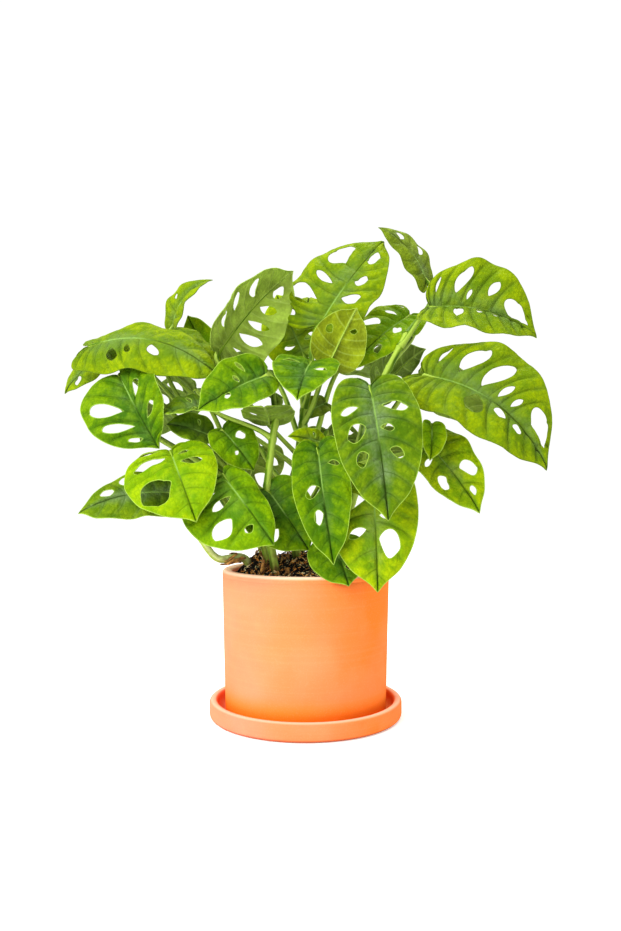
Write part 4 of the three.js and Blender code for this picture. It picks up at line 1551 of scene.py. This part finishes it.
    Leaf(8, 0.66, (-92, 62, 232), (-136, 88, 182), (-0.3, 0.85, 0.4), 52, arch=35, fold=8, look=Look.DEEP,
         left=((38, 50, 60, 10), (62, 50, 70, 12)), right=((38, 50, 70, 12), (62, 50, 60, 10))),
)


@dataclass
class Blade:
    """The form that all blades share, and the fineness of their meshes.

    q runs along the margin and the midrib, from 0 at the stalk to 1 at the tip. r runs along the side
    veins, from 0 at the midrib to 1 at the margin. pucker and billow each hold a height, a size, and
    the r at which they are at their full height.
    """

    leaf: Leaf
    thickness: float = 0.6
    lobe: float = 0.7
    fullness: float = 0.85
    roundness: float = 0.65
    drip_tip: float = 0.45
    drip_power: float = 10
    vein_bow: float = 0.04
    waves: float = 2.5
    wave_height: float = 0.03
    wave_power: float = 3
    drip: float = 0.5
    drip_start: float = 0.84
    step: float = 2.5
    margin_samples: int = 1500
    margin_crowd: float = 2.5
    least_rows: int = 24
    least_outs: int = 7
    least_room: float = 0.004
    out_power: float = 1.15
    rib_lead: float = 0.5
    halvings: int = 16
    slope_step: float = 0.01
    hole_rings: int = 6
    hole_margin: float = 0.08
    hole_share: float = 0.85
    hole_lean: float = 0.25
    hole_point: float = 0.5
    hole_corner: float = 0.45
    vein_gap: float = 17.0
    vein_groove: float = 0.6
    vein_groove_size: float = 1.2
    quilt: float = 0.12
    quilt_power: float = 0.8
    crease: float = 0.25
    crease_size: float = 0.12
    groove: float = 0.75
    groove_size: float = 1.4
    smooth_rib: float = 0.15
    smooth_edge: float = 0.8
    pucker: Point = (0.6, 5.5, 0.1)
    billow: Point = (2.2, 24.0, 0.4)
    edge_round: float = 0.35
    full_width: float = 80.0

    def __post_init__(self) -> None:
        """Spaces the rows of the mesh evenly along the margin."""
        q = np.linspace(0, 1, self.margin_samples) ** self.margin_crowd
        x, y = self.flat(q, np.ones_like(q))
        margin = self.bent(x, y)
        run = np.concatenate([[0], np.cumsum(np.linalg.norm(np.diff(margin, axis=0), axis=1))])
        self.rows = max(self.least_rows, round(run[-1] / self.step))
        share = np.linspace(0, 1, self.rows + 1)
        self.margin_q = np.interp(share * run[-1], run, q)
        self.rib_q = np.maximum(self.margin_q, self.rib_lead * share)

    def flat(self, q: np.ndarray, r: np.ndarray) -> tuple[np.ndarray, np.ndarray]:
        """Lays places out on the flat blade.

        Args:
            q: How far along.
            r: How far out.

        Returns:
            The place along the midrib in shares of its length, and out from it in shares of half the width.
        """
        reach = q - self.lobe * np.sqrt(q) * (1 - q) ** 2
        swell = np.maximum(np.sin(np.pi * q**self.fullness), 0) ** self.roundness
        out = swell * (1 - self.drip_tip * q**self.drip_power)
        out = out * (1 - self.drip * smooth_step(q, self.drip_start, 1.0))
        start = q**self.leaf.slant
        bow = self.vein_bow * 4 * r * (1 - r) * out
        return start + (reach - start) * r - bow, out * r

    def bent(self, x: np.ndarray, y: np.ndarray) -> np.ndarray:
        """Finds where places on the flat blade lie in space.

        Args:
            x: How far along the midrib, in shares of its length.
            y: How far out to the left, in shares of half the width.

        Returns:
            One point for each place.
        """
        leaf = self.leaf
        side, away = np.sign(y), np.abs(y)
        half = leaf.width / 2 * (1 + leaf.skew * side)
        bulge = leaf.length * x * (1 - x) / 2
        turn = math.radians(leaf.fold) + math.radians(leaf.curl) * away / 2
        ripple = np.sin(2 * np.pi * self.waves * x + side + leaf.length)
        wave = ripple * self.wave_height * leaf.length * away**self.wave_power
        rise = bulge * math.radians(leaf.arch) + half * away * np.sin(turn) + wave
        out = bulge * math.radians(leaf.sweep) + half * side * away * np.cos(turn)
        spots = np.array(leaf.base, float) + np.outer(leaf.length * x, leaf.along)
        return spots + np.outer(rise, leaf.up) + np.outer(out, leaf.to_left)

    def looks_up(self, x: np.ndarray, y: np.ndarray) -> np.ndarray:
        """Finds the direction that the upper face looks in.

        Args:
            x: How far along the midrib, in shares of its length.
            y: How far out to the left, in shares of half the width.

        Returns:
            One direction for each place.
        """
        small = self.slope_step
        ahead = self.bent(x + small, y) - self.bent(x - small, y)
        across = self.bent(x, y + small) - self.bent(x, y - small)
        found = np.cross(ahead, across)
        return found / np.linalg.norm(found, axis=1, keepdims=True)

    def q_at(self, row: np.ndarray, r: np.ndarray) -> np.ndarray:
        """Returns q on a row of the mesh, r of the way from the midrib to the margin."""
        rows = np.arange(self.rows + 1)
        return (1 - r) * np.interp(row, rows, self.rib_q) + r * np.interp(row, rows, self.margin_q)

    def row_of(self, q: np.ndarray, r: np.ndarray) -> np.ndarray:
        """Finds the row that a place lies on, by halving.

        Args:
            q: How far along.
            r: How far out.

        Returns:
            The row as a number with its fraction.
        """
        low, high = np.zeros_like(q), np.full_like(q, self.rows)
        for _ in range(self.halvings):
            middle = (low + high) / 2
            short = self.q_at(middle, r) < q
            low, high = np.where(short, middle, low), np.where(short, high, middle)
        return (low + high) / 2

    def strips(self, holes: tuple[Hole, ...]) -> list[tuple]:
        """Parts one half of the blade into strips, each with one hole at most.

        Args:
            holes: The half's holes.

        Returns:
            For each strip its first row, its last row and its hole or None.
        """
        spans = [((q - wide / 2) / 100, (q + wide / 2) / 100) for q, _, _, wide in holes]
        ends = [span[0] - self.hole_margin for span in spans[:1]]
        ends += [(before[1] + after[0]) / 2 for before, after in zip(spans, spans[1:])]
        ends += [span[1] + self.hole_margin for span in spans[-1:]]
        rows = [0]
        for end in ends:
            nearest = int(np.abs(self.margin_q - end).argmin())
            rows.append(min(max(nearest, rows[-1] + 1), self.rows - 1))
        rows.append(self.rows)
        inner = (None, *holes, None) if holes else (None,)
        return [(low, high, hole) for low, high, hole in zip(rows, rows[1:], inner)]

    def band(self, low: int, high: int, hole: Hole | None, side: int) -> tuple[np.ndarray, list]:
        """Divides a strip into small faces, round its hole if it has one.

        Args:
            low: The strip's first row.
            high: Its last row.
            hole: Its hole.
            side: 1 for the left half and -1 for the right.

        Returns:
            q, r and the hole's q and r for each place, and the faces between the places.
        """
        inner, outer = self.rib_q[low:high + 1], self.margin_q[low:high + 1]
        outs = max(self.least_outs, round(self.leaf.width / 2 / self.step))
        r = np.linspace(0, 1, outs + 1) ** self.out_power
        grid_q = np.outer(inner, 1 - r) + np.outer(outer, r)
        grid_r = np.tile(r, (len(inner), 1))
        if hole is None:
            numbers = np.arange(grid_q.size).reshape(grid_q.shape)
            spots = np.column_stack([grid_q.ravel(), grid_r.ravel(), np.full((grid_q.size, 2), np.nan)])
        else:
            frame_q = [grid_q[0], outer[1:], grid_q[-1, -2::-1], inner[-2:0:-1]]
            frame_r = [r, np.ones(len(outer) - 1), r[-2::-1], np.zeros(len(inner) - 2)]
            corner, across = self.hole_corner, math.pi - 2 * self.hole_corner
            along = np.linspace(0, 1, len(inner))
            turns = [
                r * across + corner - math.pi,
                (2 * along[1:] - 1) * corner,
                math.pi - corner - r[-2::-1] * across,
                math.pi + (1 - 2 * along[-2:0:-1]) * corner,
            ]
            edge = np.column_stack([np.concatenate(frame_q), np.concatenate(frame_r)])
            rim = self.rim(hole, np.concatenate(turns), grid_q)
            shares = np.linspace(0, 1, self.hole_rings + 1)[:, None, None]
            rings = edge[None] * (1 - shares) + rim[None] * shares
            spots = np.column_stack([rings.reshape(-1, 2), np.tile(rim, (len(shares), 1))])
            numbers = np.arange(len(spots)).reshape(len(shares), len(edge))
            numbers = np.column_stack([numbers, numbers[:, 0]])
        quads = np.stack([numbers[:-1, :-1], numbers[1:, :-1], numbers[1:, 1:], numbers[:-1, 1:]], axis=-1)
        faces = quads.reshape(-1, 4)
        return spots, (faces if side > 0 else faces[:, ::-1]).tolist()

    def rim(self, hole: Hole, turns: np.ndarray, grid_q: np.ndarray) -> np.ndarray:
        """Lays a hole's rim out: a lens with pointed ends, wider towards the margin.

        Args:
            hole: The hole.
            turns: The angles to lay it out at, from 0 at its outer end.
            grid_q: The strip's own q, row by row.

        Returns:
            q and r at each angle.
        """
        q, middle, long, wide = (part / 100 for part in hole)
        room = min(q - grid_q[0].max(), grid_q[-1].min() - q)
        half = min(wide / 2, self.hole_share * max(room, self.least_room))
        across = np.sin(turns) * np.abs(np.sin(turns)) ** self.hole_point
        rim_q = q + half * across * (1 + self.hole_lean * np.cos(turns)) / (1 + self.hole_lean / 2)
        return np.column_stack([rim_q, middle + long / 2 * np.cos(turns)])

    def veins(self, strips: list[tuple]) -> np.ndarray:
        """Picks the rows of one half's side veins: between its holes, and evenly where it has none.

        Args:
            strips: The half's strips, as strips gives them.

        Returns:
            The rows of the veins.
        """
        gap = self.vein_gap / self.step
        full = [0]
        for low, high, _ in strips:
            parts = max(1, round((high - low) / gap))
            full += [low + round((high - low) * part / parts) for part in range(1, parts + 1)]
        return np.array(full)

    def lay_out(self) -> None:
        """Fills places and faces with both halves, each corner once."""
        known: dict[tuple, int] = {}
        self.places, self.faces = [], []
        for side, holes in ((1, self.leaf.left), (-1, self.leaf.right)):
            strips = self.strips(holes)
            veins = self.veins(strips)
            for low, high, hole in strips:
                spots, faces = self.band(low, high, hole, side)
                x, y = self.flat(spots[:, 0], spots[:, 1])
                row = self.row_of(spots[:, 0], spots[:, 1])
                after = np.clip(np.searchsorted(veins, row, side="right"), 1, len(veins) - 1)
                numbers = []
                for spot, *others in zip(spots, x, y * side, row, veins[after - 1], veins[after]):
                    key = (round(others[0], 6), round(others[1], 6))
                    if key not in known:
                        known[key] = len(self.places)
                        self.places.append((*spot, *others, side))
                    numbers.append(known[key])
                for face in faces:
                    kept = list(dict.fromkeys(numbers[corner] for corner in face))
                    if len(kept) > 2:
                        self.faces.append(kept)

    def distances(self, table: np.ndarray) -> np.ndarray:
        """Works out how far each place lies from what shows on the blade.

        Args:
            table: The places as lay_out keeps them.

        Returns:
            For each place the distances to the midrib, the nearest side vein and the nearest edge, how far
            along and out it lies, and the distance to the nearest lesser vein.
        """
        q, r, rim_q, rim_r, x, y, row, before, after, side = table.T

        def spot(at_q: np.ndarray, at_r: np.ndarray) -> np.ndarray:
            """Returns where a place lies."""
            along, out = self.flat(np.clip(at_q, 0, 1), at_r)
            return self.bent(along, out * side)

        here = self.bent(x, y)
        middle = (before + after) / 2
        vein = np.where(row < middle, before, after)
        rib = np.abs(y) * self.leaf.width / 2
        margin = np.linalg.norm(here - spot(q, np.ones_like(q)), axis=1)
        holed = np.isfinite(rim_q)
        to_hole = np.linalg.norm(here - spot(np.where(holed, rim_q, q), np.where(holed, rim_r, r)), axis=1)
        edge = np.minimum(margin, np.where(holed, to_hole, FAR_OFF))
        to_vein = np.linalg.norm(here - spot(self.q_at(vein, r), r), axis=1)
        to_minor = np.linalg.norm(here - spot(self.q_at(middle, r), r), axis=1)
        return np.column_stack([rib, to_vein, edge, x, r, np.where(holed, FAR_OFF, to_minor)])

    def relief(self, table: np.ndarray, away: np.ndarray, spots: np.ndarray) -> np.ndarray:
        """Works out how far the blade is puffed up between its veins.

        Args:
            table: The places as lay_out keeps them.
            away: Their distances as the method above gives them.
            spots: Where they lie.

        Returns:
            How far each place is lifted towards the upper side.
        """
        r, row, before, after = table[:, 1], table[:, 6], table[:, 7], table[:, 8]
        phase = np.clip((row - before) / (after - before), 0, 1)
        puff = np.sin(np.pi * phase) ** self.quilt_power - self.crease * hump(phase - 0.5, self.crease_size)
        window = smooth_step(r, 0.0, self.smooth_rib) * (1 - smooth_step(r, self.smooth_edge, 1.0))
        scale = min(1.0, self.leaf.width / self.full_width)
        lift = scale * self.quilt * self.step * (after - before) * puff * window
        lift -= self.groove * hump(away[:, 0], self.groove_size)
        lift -= self.vein_groove * hump(away[:, 1], self.vein_groove_size) * window
        before_tip = 1 - smooth_step(table[:, 0], self.smooth_edge, 1.0)
        for height, size, reach in (self.pucker, self.billow):
            grain = np.array([noise.noise(Vector(spot) / size) for spot in spots])
            lift += scale * height * grain * smooth_step(r, 0.0, reach) * before_tip
        return lift

    def shell(self) -> tuple[np.ndarray, list, list, np.ndarray, set]:
        """Builds the blade as a closed thin shell with a rounded edge.

        Returns:
            The points, the faces, each face's material slot, each point's distances and the sharp edges.
        """
        self.lay_out()
        table = np.array(self.places, float)
        x, y = table[:, 4], table[:, 5]
        middle = self.bent(x, y)
        normals = self.looks_up(x, y)
        away = self.distances(table)
        middle = middle + normals * self.relief(table, away, middle)[:, None]
        count = len(table)

        used = Counter()
        for face in self.faces:
            used.update(zip(face, face[1:] + face[:1]))
        border = [pair for pair in used if (pair[1], pair[0]) not in used]
        outward = np.zeros_like(middle)
        for start, end in border:
            push = np.cross(middle[end] - middle[start], normals[start])
            outward[start] += push
            outward[end] += push
        rim_places = sorted({place for pair in border for place in pair})
        rim_number = {place: 2 * count + order for order, place in enumerate(rim_places)}
        out = outward[rim_places]
        out /= np.maximum(np.linalg.norm(out, axis=1, keepdims=True), TINY)
        half = normals * self.thickness / 2
        rim = middle[rim_places] + out * self.edge_round * self.thickness
        points = np.vstack([middle + half, middle - half, rim])
        stored = np.vstack([away, away, away[rim_places]])

        faces = list(self.faces)
        slots = [0] * len(faces)
        faces += [[corner + count for corner in reversed(face)] for face in self.faces]
        slots += [1] * len(self.faces)
        sharp = set()
        for start, end in border:
            faces.append([end, start, rim_number[start], rim_number[end]])
            faces.append([rim_number[end], rim_number[start], start + count, end + count])
            slots += [0, 1]
            sharp.add(frozenset((start, end)))
            sharp.add(frozenset((start + count, end + count)))
        return points, faces, slots, stored, sharp


@dataclass
class Foliage:
    """All the leaves, each one blade grown together with its stalk."""

    stems: StemTool
    stem_finish: bpy.types.Material
    foot_radius: float = 3.0
    neck_radius: float = 2.1
    rib_radius: float = 1.1
    rib_end_radius: float = 0.25
    rib_run: float = 0.9
    bow: float = 0.35
    spread: float = 0.6
    rise: float = 0.7
    sheath: float = 0.35
    knee: float = 0.25
    sheath_run: float = 0.1
    knee_at: float = 0.94
    knee_run: float = 0.05
    rib_depth: float = 0.9
    rib_sink: float = 0.12
    least_girth: float = 0.55
    girth_per_width: float = 160
    vine_steps: int = 200
    stalk_samples: int = 26
    rib_samples: int = 14

    def __post_init__(self) -> None:
        """Makes the finishes of the blades' two faces, for each look."""
        self.faces = {
            look: (
                LeafFace(f"leaf_{look.value}", tone).make(),
                LeafUnder(f"leaf_{look.value}_under", tone).make(),
            )
            for look, tone in TONES.items()
        }

    def stalk_path(self, leaf: Leaf, blade: Blade) -> tuple[np.ndarray, np.ndarray]:
        """Lays a stalk from its vine to the blade and on under the midrib.

        Args:
            leaf: The leaf.
            blade: The leaf's blade.

        Returns:
            The points of the stalk's axis and its radius at each.
        """
        foot = curve_through(VINES[leaf.vine], self.vine_steps + 1)[round(leaf.at * self.vine_steps)]
        base = np.array(leaf.base, float)
        reach = float(np.linalg.norm(base - foot))
        outwards = unit((base - foot) * (1, 1, 0))
        start = foot + (outwards + (0, 0, 1)) * reach * self.bow * self.spread
        arrive = unit(np.array(leaf.neck, float) if leaf.neck else leaf.along * (1, 1, 0) + (0, 0, self.rise))
        before = base - arrive * reach * self.bow
        t = np.linspace(0, 1, self.stalk_samples)[:, None]
        stalk = (1 - t) ** 3 * foot + 3 * (1 - t) ** 2 * t * start + 3 * (1 - t) * t**2 * before + t**3 * base
        x = np.linspace(0, self.rib_run, self.rib_samples + 1)[1:]
        level = np.zeros_like(x)
        rib_radii = self.rib_radius + (self.rib_end_radius - self.rib_radius) * x / self.rib_run
        depth = (rib_radii * self.rib_depth + blade.groove) * smooth_step(x, 0.0, self.rib_sink)
        rib = blade.bent(x, level) - blade.looks_up(x, level) * depth[:, None]
        run = t[:, 0]
        radii = self.foot_radius + (self.neck_radius - self.foot_radius) * run
        swelling = self.sheath * hump(run, self.sheath_run)
        radii *= 1 + swelling + self.knee * hump(run - self.knee_at, self.knee_run)
        small = min(1.0, self.least_girth + leaf.width / self.girth_per_width)
        return np.vstack([stalk, rib]), np.concatenate([radii, rib_radii]) * small

    def leaf(self, number: int, leaf: Leaf) -> None:
        """Builds one leaf.

        Args:
            number: The leaf's number.
            leaf: The leaf.
        """
        name = f"leaf_{number:02d}"
        blade = Blade(leaf)
        points, faces, slots, stored, sharp = blade.shell()
        mesh = make_mesh(f"{name}_blade", points, faces, [*self.faces[leaf.look], self.stem_finish])
        mesh.polygons.foreach_set("material_index", slots)
        for kind, start in (("lamina", 0), ("spread", 3)):
            kept = mesh.attributes.new(kind, "FLOAT_VECTOR", "POINT")
            kept.data.foreach_set("vector", stored[:, start:start + 3].astype(np.float32).ravel())
        for edge in mesh.edges:
            edge.use_edge_sharp = frozenset(edge.vertices) in sharp
        piece = make_object(f"{name}_blade", mesh)
        path, radii = self.stalk_path(leaf, blade)
        stalk = make_object(f"{name}_stalk", self.stems.stems(name, [path], [radii], self.stem_finish))
        with bpy.context.temp_override(active_object=piece, selected_editable_objects=[piece, stalk]):
            bpy.ops.object.join()
        dress(piece, name)

    def build(self) -> None:
        """Builds every leaf."""
        for number, leaf in enumerate(LEAVES, 1):
            self.leaf(number, leaf)


# ------------------------------------------------------------------ the studio


@dataclass(frozen=True)
class Softbox:
    """A square light: its place and its side in millimetres, and its power in watts."""

    name: str
    place: Point
    size: float
    power: float


@dataclass
class Studio:
    """The pale floor, the soft lights and the camera."""

    floor_size: float = 12000.0
    floor_drop: float = 0.1
    eye: Point = (0.0, -727.0, 207.0)
    pitch: float = 1.32
    yaw: float = 0.34
    focal_px: float = 800.0
    frame_height_px: float = 931.0
    sensor: float = 36.0
    wall: float = 1.02
    wall_top: float = 0.6
    ceiling: float = 0.3
    key: Softbox = Softbox("key", (-900, -900, 1000), 900, 22)
    top: Softbox = Softbox("top", (200, 200, 1400), 1000, 14)
    aim: Point = (0, 0, 220)
    clip: Pair = (0.01, 100)
    gamma: float = 0.8

    def floor(self) -> None:
        """Lays the floor."""
        half = self.floor_size / 2
        corners = [(-half, -half), (half, -half), (half, half), (-half, half)]
        points = [(x, y, -self.floor_drop) for x, y in corners]
        mesh = make_mesh("floor", points, [[0, 1, 2, 3]], [Paper("floor_paper").make()])
        make_object("floor", mesh)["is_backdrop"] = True

    def world(self) -> None:
        """Surrounds the scene with a white wall under a dimmer ceiling."""
        world = bpy.data.worlds.new("studio")
        world.use_nodes = True
        bench = Bench(world.node_tree)
        height = bench.part(bench.out("ShaderNodeTexCoord", pick="Generated"), "Z")
        strength = bench.ramp(height, self.wall_top, 1.0, self.wall, self.ceiling)
        bench.feed(world.node_tree.nodes["Background"], {"Strength": strength, "Color": (1, 1, 1, 1)})
        bpy.context.scene.world = world

    def hang(self, box: Softbox) -> None:
        """Hangs a light that looks at the plant.

        Args:
            box: The light's measures.
        """
        lamp = bpy.data.lights.new(box.name, "AREA")
        lamp.energy = box.power
        lamp.size = box.size * MM
        holder = make_object(box.name, lamp)
        holder.location = Vector(box.place) * MM
        aim = Vector(self.aim) * MM - holder.location
        holder.rotation_euler = aim.to_track_quat("-Z", "Y").to_euler()

    def camera(self) -> None:
        """Sets the camera up."""
        lens = bpy.data.cameras.new("camera")
        lens.sensor_width = self.sensor
        lens.lens = self.sensor * self.focal_px / self.frame_height_px
        lens.clip_start, lens.clip_end = self.clip
        holder = make_object("camera", lens)
        holder.location = Vector(self.eye) * MM
        holder.rotation_euler = Euler((math.radians(90 + self.pitch), 0, math.radians(-self.yaw)))
        bpy.context.scene.camera = holder

    def build(self) -> None:
        """Sets the whole studio up."""
        self.floor()
        self.world()
        self.hang(self.key)
        self.hang(self.top)
        self.camera()
        bpy.context.scene.view_settings.view_transform = "Standard"
        bpy.context.scene.view_settings.gamma = self.gamma


def write_sizes() -> None:
    """Works out the CAD box and the visual model's box, in metres."""
    boxes = {"cad": CAD_BOX, "visual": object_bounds()}
    sizes = {name: [list(corner) for corner in box] for name, box in boxes.items()}


def main() -> None:
    """Builds the plant in its pot, then the studio round it."""
    logging.basicConfig(level=logging.INFO, format="%(message)s")
    pottery = Pottery()
    saucer_clay = Terracotta(
        "saucer_clay",
        # painted light: the saucer's lit side is pinker
        lit_side=(0.9, 0.3, 0.19),
        # painted contact shadow: a dark line along the bottom few millimetres of the saucer
        low_tint_and_contact_shade=(0.3, 0.08, 0.03),
        foot=(0.003, 0.0006, 0.0, 0.75),
        # painted highlight along the top of the saucer's rim
        rim=(0.0145, 0.0165, 0.0, 0.95),
    )
    pottery.saucer(saucer_clay.make())
    pottery.pot(Terracotta("pot_clay").make())
    soil = Soil(pottery)
    soil.build(CoirMix("coir_mix").make())
    stems = StemTool()
    Roots(stems, soil).build(RootBark("root_bark").make())
    skin = StemSkin("green_skin").make()
    # the low vine's skin is paler, with paler painted highlights along its flanks
    young = StemSkin("young_skin", green=(0.3, 0.4, 0.07), light=(0.46, 0.54, 0.16), pale=(0.6, 0.66, 0.3))
    Vines(stems).build(skin, young.make())
    Foliage(stems, skin).build()
    Studio().build()
    write_sizes()


if __name__ == "__main__":
    main()
